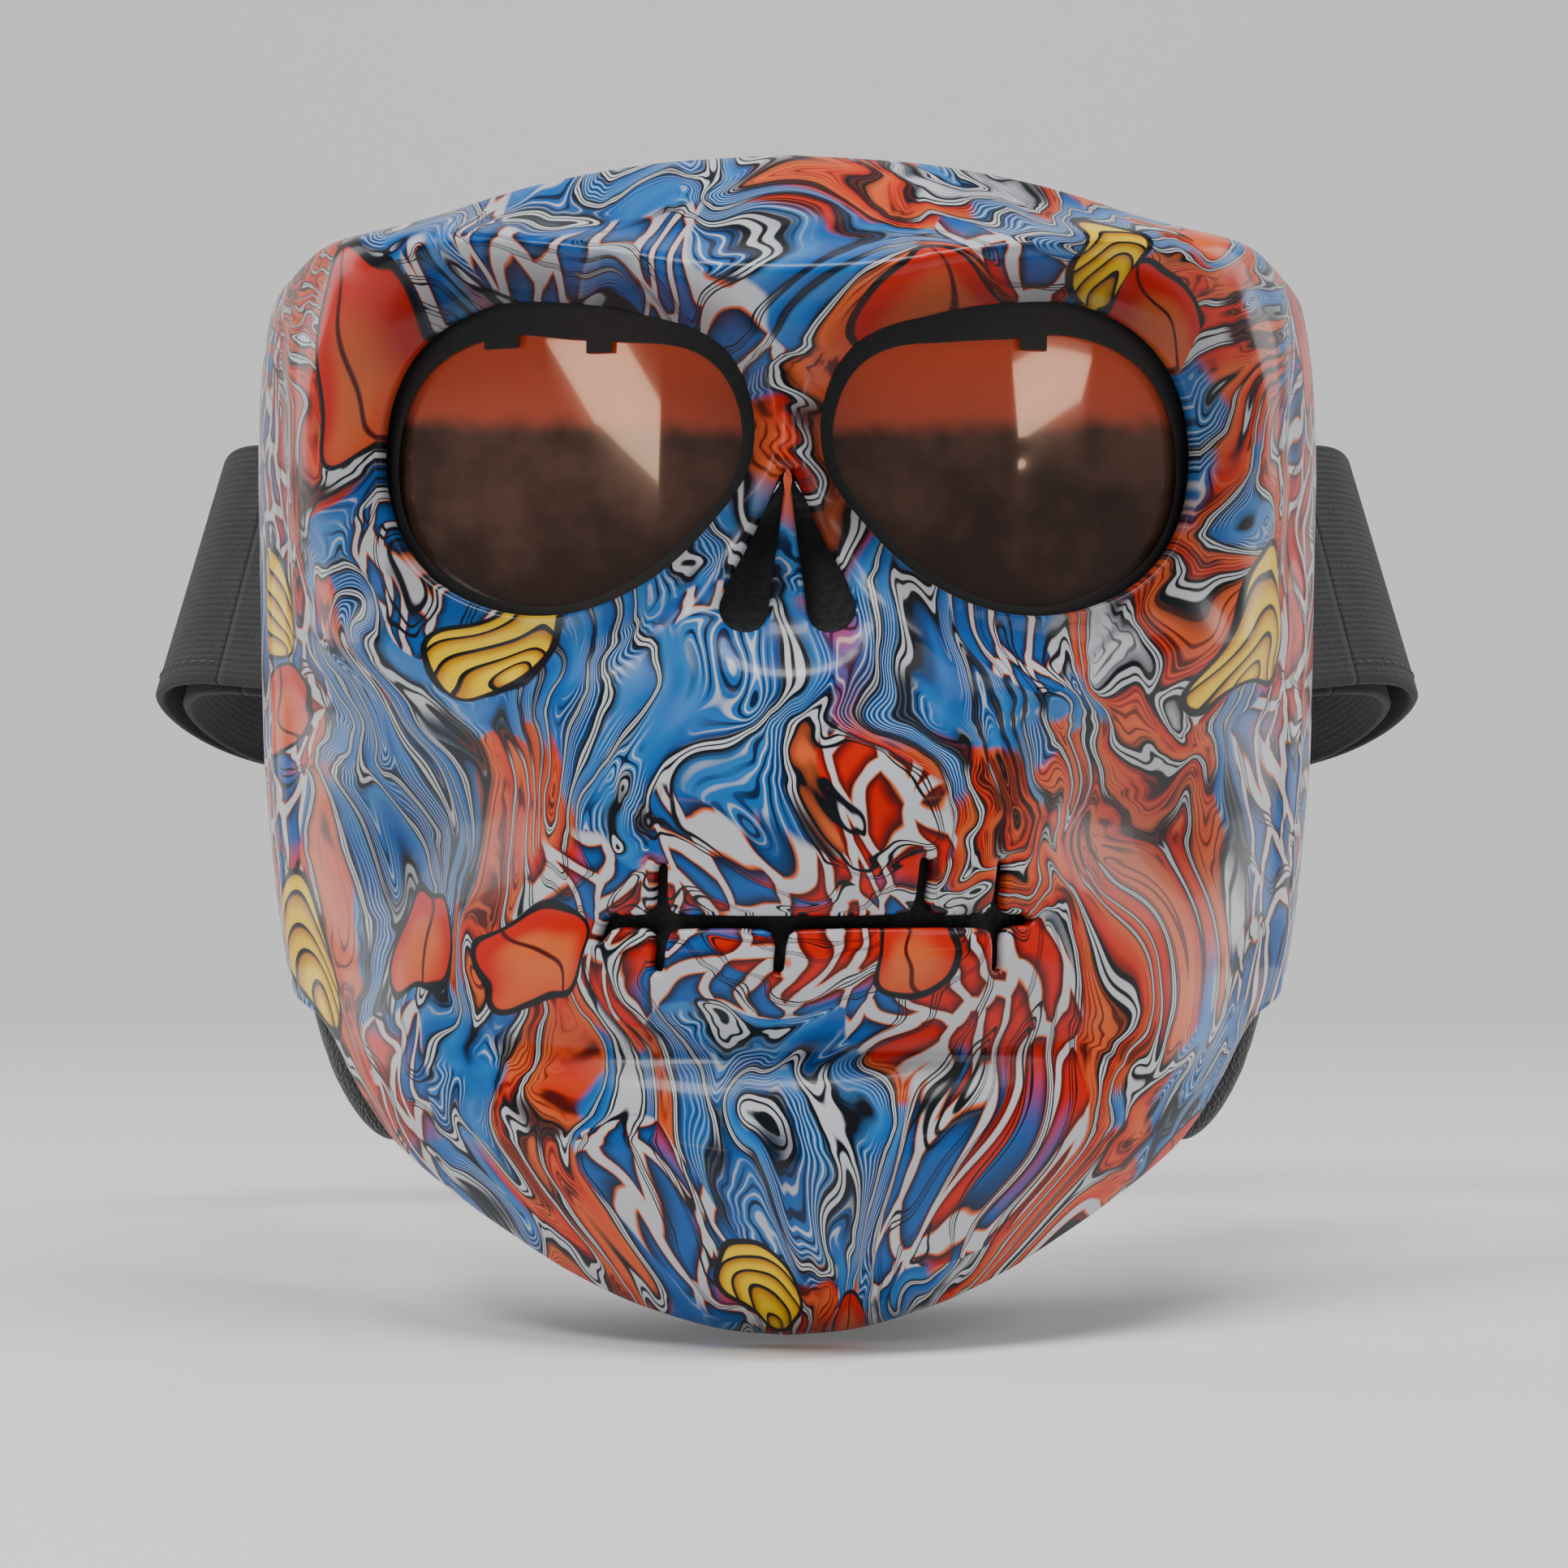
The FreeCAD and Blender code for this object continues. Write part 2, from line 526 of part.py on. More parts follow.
def outline_sketch(body, role, name, corners, rise=0.0):
    """A closed polygon sketch on one of the body's own planes, each corner held by the sheet's sizes."""
    sketch = body.newObject("Sketcher::SketchObject", name)
    sketch.AttachmentSupport = [(origin_plane(body, role), "")]
    sketch.MapMode = "FlatFace"
    sketch.AttachmentOffset = FreeCAD.Placement(Vector(0, 0, rise), FreeCAD.Rotation())
    corners = [(Size.of(across), Size.of(up)) for across, up in corners]
    points = [Vector(across.number, up.number, 0) for across, up in corners]
    count = len(points)
    for k in range(count):
        sketch.addGeometry(Part.LineSegment(points[k], points[(k + 1) % count]), False)
    for k in range(count):
        sketch.addConstraint(Sketcher.Constraint("Coincident", k, 2, (k + 1) % count, 1))
    for k, (across, up) in enumerate(corners):
        for kind, value, letter in (("DistanceX", across, "x"), ("DistanceY", up, "y")):
            index = sketch.addConstraint(Sketcher.Constraint(kind, -1, 1, k, 1, value.number))
            sketch.renameConstraint(index, f"{letter}{k}")
            if "sizes." in value.text:
                sketch.setExpression(f"Constraints.{letter}{k}", value.text)
    return sketch


def rectangle(low_x, high_x, low_y, high_y):
    return [(low_x, low_y), (high_x, low_y), (high_x, high_y), (low_x, high_y)]


def new_body(label):
    body = doc.addObject("PartDesign::Body", label)
    body.Label = label
    return body


def pad(body, sketch, length):
    feature = body.newObject("PartDesign::Pad", f"{sketch.Name}_pad")
    feature.Profile = sketch
    feature.SideType = "Symmetric"
    feature.setExpression("Length", Size.of(length).text)
    doc.recompute()
    return feature


def pocket(body, sketch, length):
    feature = body.newObject("PartDesign::Pocket", f"{sketch.Name}_pocket")
    feature.Profile = sketch
    feature.SideType = "Symmetric"
    feature.setExpression("Length", Size.of(length).text)
    before = body.Shape.Volume
    doc.recompute()
    if body.Shape.Volume >= before - 1e-6:
        raise RuntimeError(f"{feature.Name} cuts nothing")
    return feature


def strap_frame():
    """The strap loop's own frame: X across, Y back along the hanging loop, Z up across its width."""
    return FreeCAD.Placement(Vector(0, number("strap_origin_y"), number("strap_origin_z")),
                             FreeCAD.Rotation(Vector(1, 0, 0), -number("strap_droop")))


def clip_frame(side):
    """A clip's frame at its strap bar: X along the strap, Z along the bar. The left one is turned end for end."""
    heading, flare = math.radians(number("strap_heading")), math.radians(number("strap_flare"))
    along = Vector(side * math.sin(heading), math.cos(heading), 0)
    outward = Vector(side * math.cos(heading), -math.sin(heading), 0)
    across = Vector(0, 0, math.cos(flare)) - outward * math.sin(flare)
    away = outward * math.cos(flare) + Vector(0, 0, math.sin(flare))
    turned = FreeCAD.Rotation(along, -away, across * side, "ZXY")
    place = FreeCAD.Placement(Vector(side * number("strap_start_x"), 0, 0), turned)
    return strap_frame().multiply(place)


def make_pin(name, side):
    body = new_body(f"hinge_pin_{name}")
    radius, half = size("pin_radius"), size("pin_half")
    bevel = 0.4
    sketch = outline_sketch(body, "XZ_Plane", f"pin_section_{name}",
                            [(0, -half), (radius - bevel, -half), (radius, -half + bevel), (radius, half - bevel),
                             (radius - bevel, half), (0, half)])
    turned = body.newObject("PartDesign::Revolution", f"pin_turned_{name}")
    turned.Profile = sketch
    turned.ReferenceAxis = (sketch, ["V_Axis"])
    turned.Angle = 360
    offset = FreeCAD.Placement(Vector(-number("pin_reach"), 0, 0), FreeCAD.Rotation())
    body.Placement = clip_frame(side).multiply(offset)
    nodes.append(body)


def make_clip(name, side):
    """A frame that turns on the hinge pin at its front and holds the strap's fold on a bar at its back."""
    body = new_body(f"strap_clip_{name}")
    reach, half, leg = size("pin_reach"), size("clip_half"), size("clip_leg")
    barrel, bar = size("barrel_radius"), size("bar_radius")
    plate = outline_sketch(body, "XZ_Plane", f"clip_outline_{name}",
                           rectangle(-reach, bar * 0.9, -half, half))
    pad(body, plate, bar * 2)
    window = outline_sketch(body, "XZ_Plane", f"clip_window_{name}",
                            rectangle(-reach + barrel * 0.9, bar * 0.9 + 1, -half + leg, half - leg))
    pocket(body, window, 30)
    for label, x, radius in (("barrel", -number("pin_reach"), barrel), ("bar", 0.0, bar)):
        sketch = body.newObject("Sketcher::SketchObject", f"clip_{label}_{name}")
        sketch.AttachmentSupport = [(origin_plane(body, "XY_Plane"), "")]
        sketch.MapMode = "FlatFace"
        sketch.addGeometry(Part.Circle(Vector(x, 0, 0), Vector(0, 0, 1), radius.number), False)
        index = sketch.addConstraint(Sketcher.Constraint("Radius", 0, radius.number))
        sketch.renameConstraint(index, "radius")
        sketch.setExpression("Constraints.radius", radius.text)
        pad(body, sketch, half * 2)
    bore = body.newObject("Sketcher::SketchObject", f"clip_bore_{name}")
    bore.AttachmentSupport = [(origin_plane(body, "XY_Plane"), "")]
    bore.MapMode = "FlatFace"
    bore.addGeometry(Part.Circle(Vector(-number("pin_reach"), 0, 0), Vector(0, 0, 1), number("barrel_bore")), False)
    index = bore.addConstraint(Sketcher.Constraint("Radius", 0, number("barrel_bore")))
    bore.renameConstraint(index, "radius")
    bore.setExpression("Constraints.radius", "sizes.barrel_bore")
    pocket(body, bore, half * 2 + 4)
    body.Placement = clip_frame(side)
    nodes.append(body)


def part_box(label, lengths, corner):
    block = doc.addObject("Part::Box", label)
    for field, value in zip(("Length", "Width", "Height"), lengths):
        block.setExpression(field, Size.of(value).text)
    for letter, value in zip("xyz", corner):
        block.setExpression(f"Placement.Base.{letter}", Size.of(value).text)
    return block


def part_rod(label, radius, height, corner, direction=Vector(0, 0, 1)):
    rod = doc.addObject("Part::Cylinder", label)
    rod.setExpression("Radius", Size.of(radius).text)
    rod.setExpression("Height", Size.of(height).text)
    rod.Placement = FreeCAD.Placement(Vector(0, 0, 0), FreeCAD.Rotation(Vector(0, 0, 1), direction))
    for letter, value in zip("xyz", corner):
        rod.setExpression(f"Placement.Base.{letter}", Size.of(value).text)
    return rod


def part_union(label, members):
    union = doc.addObject("Part::MultiFuse", label)
    union.Shapes = members
    return union


def part_cut(label, base, tool):
    cut = doc.addObject("Part::Cut", label)
    cut.Base = base
    cut.Tool = tool
    return cut


def make_loop(name, side):
    """The strap's fold round the clip's bar, with a short leg of each layer."""
    wall, layer, width = size("strap_wall"), size("strap_layer"), size("strap_width")
    leg = size("loop_leg")
    outer = layer + wall * 0.5
    inner = layer - wall * 0.5
    bend = part_rod(f"loop_bend_{name}", outer, width, (0, 0, width * -0.5))
    legs = part_box(f"loop_legs_{name}", (leg, outer * 2, width), (0, -outer, width * -0.5))
    hole = part_rod(f"loop_hole_{name}", inner, width + 2, (0, 0, width * -0.5 - 1))
    gap = part_box(f"loop_gap_{name}", (leg + 1, inner * 2, width + 2), (0, -inner, width * -0.5 - 1))
    solid = part_cut(f"strap_loop_{name}", part_union(f"loop_outside_{name}", [bend, legs]),
                     part_union(f"loop_inside_{name}", [hole, gap]))
    solid.Label = f"strap_loop_{name}"
    solid.Placement = clip_frame(side)
    nodes.append(solid)


def make_anchor(name, side):
    """A plate screwed inside the shell with two lugs that reach in and carry the hinge pin."""
    lug_low = number("clip_half") + 0.4
    foot = number("strap_origin_z") + number("plate_low")
    head = number("strap_origin_z") + number("plate_high")
    corners = [(number("plate_front"), foot), (number("plate_foot_back"), foot),
               (number("plate_head_back"), head), (number("plate_front"), head)]
    outline = Part.makePolygon([Vector(number("plate_inner"), y, z) for y, z in corners + corners[:1]])
    plate = Part.Face(outline).extrude(Vector(number("plate_wall"), 0, 0))
    plate = plate.makeFillet(4.0, [edge for edge in plate.Edges if abs(edge.tangentAt(0).x) > 0.9])
    plate = on_side(plate, side)
    keep = on_side(Part.makeBox(number("plate_inner") + 0.5 * number("plate_wall"), 200, 300, Vector(0, -50, -150)),
                   side)
    bores = []
    for end in (-1, 1):
        low = lug_low if end > 0 else -lug_low - number("lug_wall")
        arm = Part.makeBox(8.4, 30, number("lug_wall"), Vector(-number("pin_reach") - 4.2, -30, low))
        eye = Part.makeCylinder(4.2, number("lug_wall"), Vector(-number("pin_reach"), 0, low))
        lug = arm.fuse(eye)
        lug.Placement = clip_frame(side)
        plate = plate.fuse(lug.common(keep))
    bore = Part.makeCylinder(number("barrel_bore"), 2 * number("pin_half") + 10,
                             Vector(-number("pin_reach"), 0, -number("pin_half") - 5))
    bore.Placement = clip_frame(side)
    bores.append(bore)
    for y, height in ANCHOR_SCREWS:
        start = Vector(side * (number("plate_inner") - 5), y, number("strap_origin_z") + height)
        bores.append(Part.makeCylinder(number("pilot_radius"), 12, start, Vector(side, 0, 0)))
    for hole in bores:
        plate = plate.cut(hole)
    add_shape(f"strap_anchor_{name}", plate)


def screw_solid(start, direction):
    """A pan-head screw: start is under its head, and direction is the way its shank points."""
    shank, head, cap = number("screw_shank"), number("screw_head"), number("screw_cap")
    profile = Part.makePolygon([Vector(0, 0, -cap), Vector(head - 0.7, 0, -cap), Vector(head, 0, -cap + 0.7),
                                Vector(head, 0, 0), Vector(shank, 0, 0), Vector(shank, 0, number("screw_length") - 1),
                                Vector(0.3, 0, number("screw_length")), Vector(0, 0, number("screw_length")),
                                Vector(0, 0, -cap)])
    turned = Part.Face(Part.Wire(profile.Edges)).revolve(Vector(0, 0, 0), Vector(0, 0, 1), 360)
    slot = [Part.makeBox(0.8, 3.2, 2, Vector(-0.4, -1.6, -cap - 1.1)), Part.makeBox(3.2, 0.8, 2,
                                                                                  Vector(-1.6, -0.4, -cap - 1.1))]
    turned = Part.Solid(Part.Shell(turned.Faces)) if turned.ShapeType != "Solid" else turned
    turned = turned.cut(slot)
    turned.Placement = FreeCAD.Placement(start, FreeCAD.Rotation(Vector(0, 0, 1), direction))
    return turned


def make_screws():
    for name, side in SIDES.items():
        solids = [screw_solid(Vector(side * (number("plate_inner") - 0.05), y, number("strap_origin_z") + height),
                              Vector(side, 0, 0)) for y, height in ANCHOR_SCREWS]
        add_shape(f"anchor_screws_{name}", Part.makeCompound(solids))
    seat = filter_frame_front() + number("filter_plate") + 0.7
    solids = [screw_solid(shell_point(angle, z, seat), outward_at(angle, z)) for angle, z in FILTER_SCREWS]
    add_shape("filter_screws", Part.makeCompound(solids))


def strap_section(layer, half_share=0.5):
    """Corners of a strap layer's section on the back run, in the loop frame's Y and Z."""
    flare, wall = size("strap_flare"), size("strap_wall")
    back = loop_back()
    corners = []
    for height, outward in ((-half_share, -0.5), (-half_share, 0.5), (half_share, 0.5), (half_share, -0.5)):
        rise, away = size("strap_width") * height, layer + wall * outward
        corners.append((back + away * cosine(flare) - rise * sine(flare), away * sine(flare) + rise * cosine(flare)))
    return corners


def loop_back():
    """Y of the back run in the loop's frame."""
    return Size(loop_middle()[1] + number("strap_bend"))


def loop_middle():
    """Centre of the right-hand side bend in the loop's frame."""
    heading = math.radians(number("strap_heading"))
    bend = number("strap_bend")
    leave_x = number("strap_flat") + bend * math.cos(heading)
    run_y = (leave_x - number("strap_start_x")) / math.tan(heading)
    return number("strap_flat"), run_y + bend * math.sin(heading)


def strap_path(body, name, side, start_x):
    """Back run, side bend and straight run to the clip, from the back run's point at start_x."""
    heading = math.radians(number("strap_heading"))
    middle_x, middle_y = loop_middle()
    bend, free = number("strap_bend"), number("strap_free")
    back_y = middle_y + bend
    leave = Vector(side * (middle_x + bend * math.cos(heading)), middle_y - bend * math.sin(heading), 0)
    widest = Vector(side * (middle_x + bend * math.cos(0.3)), middle_y + bend * math.sin(0.3), 0)
    end = Vector(side * (number("strap_start_x") + free * math.sin(heading)), free * math.cos(heading), 0)
    sketch = body.newObject("Sketcher::SketchObject", f"strap_path_{name}")
    sketch.AttachmentSupport = [(origin_plane(body, "XY_Plane"), "")]
    sketch.MapMode = "FlatFace"
    sketch.addGeometry(Part.LineSegment(Vector(side * start_x, back_y, 0), Vector(side * middle_x, back_y, 0)), False)
    sketch.addGeometry(Part.Arc(Vector(side * middle_x, back_y, 0), widest, leave), False)
    sketch.addGeometry(Part.LineSegment(leave, end), False)
    return sketch


def make_strap():
    """The long outer layer from clip to clip, and on each side the inner layer that comes back to the adjuster."""
    flat = number("strap_flat")
    inner_start = flat - 6.0
    for label, layer, side, start_x in (
            ("strap_band", size("strap_layer"), 1, 0.0),
            ("strap_return_left", -size("strap_layer"), -1, inner_start),
            ("strap_return_right", -size("strap_layer"), 1, inner_start)):
        body = new_body(label)
        section = outline_sketch(body, "YZ_Plane", f"{label}_section", strap_section(layer), rise=side * start_x)
        path = strap_path(body, label, side, start_x)
        pipe = body.newObject("PartDesign::AdditivePipe", f"{label}_pipe")
        pipe.Profile = section
        pipe.Spine = (path, [])
        doc.recompute()
        if label == "strap_band":
            mirrored = body.newObject("PartDesign::Mirrored", f"{label}_mirrored")
            mirrored.Originals = [pipe]
            mirrored.MirrorPlane = (origin_plane(body, "YZ_Plane"), [""])
            body.Tip = mirrored
            doc.recompute()
        body.Placement = strap_frame()
        nodes.append(body)


def make_slider(name, side):
    """A three-bar adjuster: two end bars outside the strap, one inside it, and a leg past each of its edges."""
    body = new_body(f"strap_slider_{name}")
    length, height, clear = size("slider_length"), size("slider_height"), size("slider_clear")
    back, face = size("slider_back"), size("slider_face")
    low, high = size("slider_slot_low"), size("slider_slot_high")
    block = outline_sketch(body, "XY_Plane", f"slider_block_{name}", rectangle(length * -0.5, length * 0.5, back, face))
    pad(body, block, height)
    passage = outline_sketch(body, "XY_Plane", f"slider_passage_{name}",
                             rectangle(length * -0.5 - 1, length * 0.5 + 1, low, high))
    pocket(body, passage, clear * 2)
    window = outline_sketch(body, "XY_Plane", f"slider_window_{name}",
                            rectangle(length * -0.5 + size("slider_end_bar"),
                                      length * 0.5 - size("slider_end_bar"), high - 0.2, face + 1))
    pocket(body, window, clear * 2)
    for end in (-1, 1):
        edges = sorted((end * (number("slider_length") / 2 + 1), end * number("slider_mid_bar") / 2))
        open_end = outline_sketch(body, "XY_Plane", f"slider_open_{name}_{'b' if end > 0 else 'a'}",
                                  rectangle(edges[0], edges[1], back - 1, low + 0.2))
        pocket(body, open_end, clear * 2)
    solid = body.Tip
    corner_edges = []
    for index, edge in enumerate(solid.Shape.Edges, start=1):
        box = edge.BoundBox
        at_end = abs(abs(box.Center.x) - number("slider_length") / 2) < 0.01
        at_tip = abs(abs(box.Center.z) - number("slider_height") / 2) < 0.01
        if at_end and at_tip and box.YLength > 5:
            corner_edges.append(f"Edge{index}")
    fillet = body.newObject("PartDesign::Fillet", f"slider_corners_{name}")
    fillet.Base = (solid, corner_edges)
    fillet.setExpression("Radius", (size("slider_round") * 2).text)
    doc.recompute()
    turn = FreeCAD.Rotation(Vector(1, 0, 0), number("strap_flare"))
    place = FreeCAD.Placement(Vector(side * number("slider_place"), loop_back().number, 0), turn)
    body.Placement = strap_frame().multiply(place)
    nodes.append(body)


def check_and_write():
    doc.recompute()
    for item in doc.Objects:
        if any(word in ("Invalid", "Error") for word in item.State):
            raise RuntimeError(f"{item.Label} failed: {item.State}")
    for item in nodes:
        shape = item.Shape
        if shape.isNull() or not shape.isValid() or not shape.Solids:
            raise RuntimeError(f"{item.Label} has no valid solid")
        whole = shape if len(shape.Solids) > 1 else shape.Solids[0]
        whole.exportStep(os.path.join("parts", f"{item.Label}.step"))
        print(f"{item.Label:24s} {shape.Volume / 1000:9.2f} cm3  solids {len(shape.Solids)}")


make_face_shell()
make_goggle_frame()
make_padding()
make_filter_frame()
for side_name, side_sign in SIDES.items():
    make_anchor(side_name, side_sign)
    make_pin(side_name, side_sign)
    make_clip(side_name, side_sign)
    make_loop(side_name, side_sign)
    make_slider(side_name, side_sign)
make_screws()
make_strap()
check_and_write()
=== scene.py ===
"""Looks of the full-face skull mask: printed shell, mirrored goggle, padding, elastic strap and hardware.

Lengths in the shape functions are millimetres in the row frame: X across, Y back towards the wearer, Z up,
from the bridge of the wearer's nose. Meshes are built in metres.
"""
import math

import bpy
import numpy as np
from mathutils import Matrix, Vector
from mathutils.geometry import delaunay_2d_cdt


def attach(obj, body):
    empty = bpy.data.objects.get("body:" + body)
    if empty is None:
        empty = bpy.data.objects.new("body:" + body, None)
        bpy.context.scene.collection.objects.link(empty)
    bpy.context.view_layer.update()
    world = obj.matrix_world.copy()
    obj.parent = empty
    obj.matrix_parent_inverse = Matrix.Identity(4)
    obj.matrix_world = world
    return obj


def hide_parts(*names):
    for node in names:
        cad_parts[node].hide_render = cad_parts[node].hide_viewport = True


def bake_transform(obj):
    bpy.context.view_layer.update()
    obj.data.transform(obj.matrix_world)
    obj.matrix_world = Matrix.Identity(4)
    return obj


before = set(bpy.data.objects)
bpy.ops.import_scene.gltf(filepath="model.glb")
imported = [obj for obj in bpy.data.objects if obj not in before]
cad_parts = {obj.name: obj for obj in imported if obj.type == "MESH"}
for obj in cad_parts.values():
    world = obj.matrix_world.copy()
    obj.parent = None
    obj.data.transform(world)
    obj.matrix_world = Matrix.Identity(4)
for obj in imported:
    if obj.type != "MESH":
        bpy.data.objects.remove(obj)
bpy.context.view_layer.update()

MM = 0.001
DEGREE_LENGTH = 1.85  # length round the face that one degree is drawn as on the flat pattern
SHELL_WALL = 3.0
SHELL_SPACING = 1.35
EDGE_ROUND = 0.9  # how far the rounded edge of the shell reaches past its face

# The shell's plain section at height z, the same as the CAD shell's: (z, value) stations.
HALF_WIDTH = [(-150, 50), (-140, 60), (-128, 72), (-116, 83), (-104, 90.5), (-90, 95), (-70, 98), (-45, 100),
              (0, 100.5), (16, 99.8), (31, 97.3), (40, 92.5), (47, 84), (56, 70)]
FRONT = [(-150, -40), (-143, -50), (-130, -59), (-115, -62), (-98, -61), (-80, -63), (-60, -63), (-40, -60),
         (-20, -57), (0, -54), (15, -54), (28, -58), (38, -50), (47, -36), (56, -20)]
REAR = [(-150, 14), (-130, 24), (-116, 34), (-104, 43), (-96, 50), (-88, 56), (-40, 57), (20, 57), (40, 50),
        (56, 38)]
SQUARENESS = [(-150, 0), (-120, 0.02), (-98, -0.02), (-80, -0.04), (-60, -0.08), (-35, -0.10), (-15, -0.03),
              (0, 0.05), (28, 0.13), (56, 0.13)]
# The heights of its edges: (degrees round the face, height) stations. Over the jaw the bottom edge is cut
# further in than the CAD shell's.
TOP_EDGE = [(0, 53.5), (14, 52), (25, 49.2), (34, 46.2), (43, 40.4), (51, 38.7), (62, 36), (72, 33.5),
            (84, 31.5), (90, 25)]
BOTTOM_EDGE = [(0, -150), (10, -149.3), (25, -145.2), (37, -139), (43, -133.8), (49, -128.4), (56, -120.3),
               (58, -115), (60, -107), (62, -101.5), (65, -97), (71, -93.5), (80, -92), (86, -91), (90, -86)]
HALF_ROUND = 90  # degrees from the middle of the face to the shell's side edges
# The eye opening: every 30 degrees from +X, its radius and the width of the socket's slope around it.
EYE_X = 38.0
EYE_RADIUS = [32.8, 32.5, 28.5, 24.8, 26.0, 31.8, 31.4, 26.8, 25.6, 26.9, 29.4, 32.4]
SOCKET_SLOPE = [11, 13, 12, 9.5, 9, 7, 5.5, 8, 11, 13, 13, 12]
SOCKET_STEP = 4.7
LENS_RADIUS = 110.0
LENS_FRONT = -42.0

MOUTH_Z = -78.6
MOUTH_ENDS = (-30.0, 41.5)
MOUTH_HALF = 1.1
STITCHES = [(-20.0, 10.0, 9.0), (-1.0, 1.0, 9.0), (21.0, 11.0, 1.0), (34.5, 10.5, 9.0)]  # X, up, down
STITCH_HALF = 1.2
NOSTRIL = ((1.6, -5.5, 1.8), (7.2, -26.5, 4.1))  # X, Z and radius of its top and its foot

SIDES = {"left": -1, "right": 1}


# ---- curves and the shell's face -----------------------------------------------------------------------

def through(stations, at):
    """A smooth curve through (position, value) stations: cubic pieces whose slopes are the harmonic mean of
    the two chords that meet, so that it never overshoots."""
    place, value = np.array(stations, float).T
    chord = np.diff(value) / np.diff(place)
    before, after = chord[:-1], chord[1:]
    total = np.where(before + after == 0, 1.0, before + after)
    inner = np.where(before * after > 0, 2 * before * after / total, 0.0)
    slope = np.concatenate([chord[:1], inner, chord[-1:]])
    at = np.clip(at, place[0], place[-1])
    k = np.clip(np.searchsorted(place, at, side="right") - 1, 0, len(place) - 2)
    span = place[k + 1] - place[k]
    share = (at - place[k]) / span
    square, cube = share ** 2, share ** 3
    return (value[k] * (2 * cube - 3 * square + 1) + value[k + 1] * (3 * square - 2 * cube)
            + span * (slope[k] * (cube - 2 * square + share) + slope[k + 1] * (cube - square)))


def round_the_eye(values, angle):
    """A smooth closed curve through values at even steps of angle, with central-difference slopes."""
    values = np.array(values, float)
    count = len(values)
    place = (angle / (2 * np.pi) * count) % count
    k = place.astype(int) % count
    share = place - np.floor(place)
    before, here, after, beyond = (values[(k + i) % count] for i in (-1, 0, 1, 2))
    return 0.5 * (2 * here + (after - before) * share
                  + (2 * before - 5 * here + 4 * after - beyond) * share ** 2
                  + (3 * here - before - 3 * after + beyond) * share ** 3)


def full_turn(count):
    """Even steps once round in radians, from 0 to one step short of a full turn."""
    return np.linspace(0, 2 * np.pi, count, endpoint=False)


def smooth(share):
    """0 up to a share of 0 and 1 from a share of 1 on, with a soft start and end between them."""
    share = np.clip(share, 0.0, 1.0)
    return share * share * (3 - 2 * share)


def hump(*offsets, power=2):
    """A bell of height 1; each offset is a distance from its middle over its width."""
    return np.exp(-sum(np.abs(offset) ** power for offset in offsets))


def relief(x, z, angle):
    """How far the face stands out from the plain section. The forms are stronger than the CAD shell's."""
    temple = smooth((90 - x) / 22)
    over_ridge = z - 28.4 - 8.3 * smooth(x / 66)
    brow = 6.4 * hump(over_ridge / np.where(over_ridge > 0, 3.4, 8.0)) - 2.6 * hump((over_ridge - 9) / 5)
    orbit = 3.6 * hump((x - 81) / 7, (z + 1) / 29, power=4)
    cheekbone = 5.6 * hump((x - 70) / 15, (z + 31) / 8) + 3.0 * hump((x - 40) / 20, (z + 40) / 8)
    hollow = -4.5 * hump((x - 60) / 16, (z + 66) / 18) - 2.4 * hump((x - 72) / 11, (z + 66) / 15)
    muzzle = 5.0 * hump(x / 38, (z + 70) / 30, power=4)
    crease = -4.4 * hump((z + 100) / 4.5) * hump(x / 44, power=4)
    chin = 5.6 * hump(x / 30, (z + 120) / 15)
    lips = -1.6 * hump((z - MOUTH_Z) / 4.5) * hump(x / 46, power=4)
    nose = 3.5 * hump(x / 8, (z + 2) / 8) - 5.0 * hump(x / 12, (z + 20) / 14, power=4)
    wings = 2.4 * hump((np.hypot(x / 18, (z + 20) / 19) - 1) / 0.25) * smooth((2 - z) / 12)
    side_edge = 2.4 * hump((angle - 68) / 3.4) * smooth((-8 - z) / 14)
    return (brow * temple + orbit + cheekbone + hollow + muzzle + crease + chin + lips + nose + wings
            + side_edge)


def on_lens_cylinder(x, outward=0.0):
    """Y at x of the upright cylinder both lenses lie on, or of one a step outward of it."""
    return LENS_FRONT + LENS_RADIUS - np.sqrt((LENS_RADIUS + outward) ** 2 - x ** 2)


def section_x(turn, z):
    """Distance from the mid-plane of the plain section at a turn round the face in radians."""
    return through(HALF_WIDTH, z) * np.sin(turn) * (1 + through(SQUARENESS, z) * np.cos(turn) ** 2)


def level_outward(angle, z):
    """The level direction square to the plain section, pointing out of it."""
    turn = np.radians(np.abs(angle))
    half, square = through(HALF_WIDTH, z), through(SQUARENESS, z)
    depth = through(REAR, z) - through(FRONT, z)
    along_x = half * np.cos(turn) * (1 + square * (np.cos(turn) ** 2 - 2 * np.sin(turn) ** 2))
    along_y = depth * np.sin(turn) * (1 + square * (np.sin(turn) ** 2 - 2 * np.cos(turn) ** 2))
    outward = np.stack([np.where(angle < 0, -1.0, 1.0) * along_y, -along_x, 0 * along_x], axis=-1)
    return outward / np.linalg.norm(outward, axis=-1, keepdims=True)


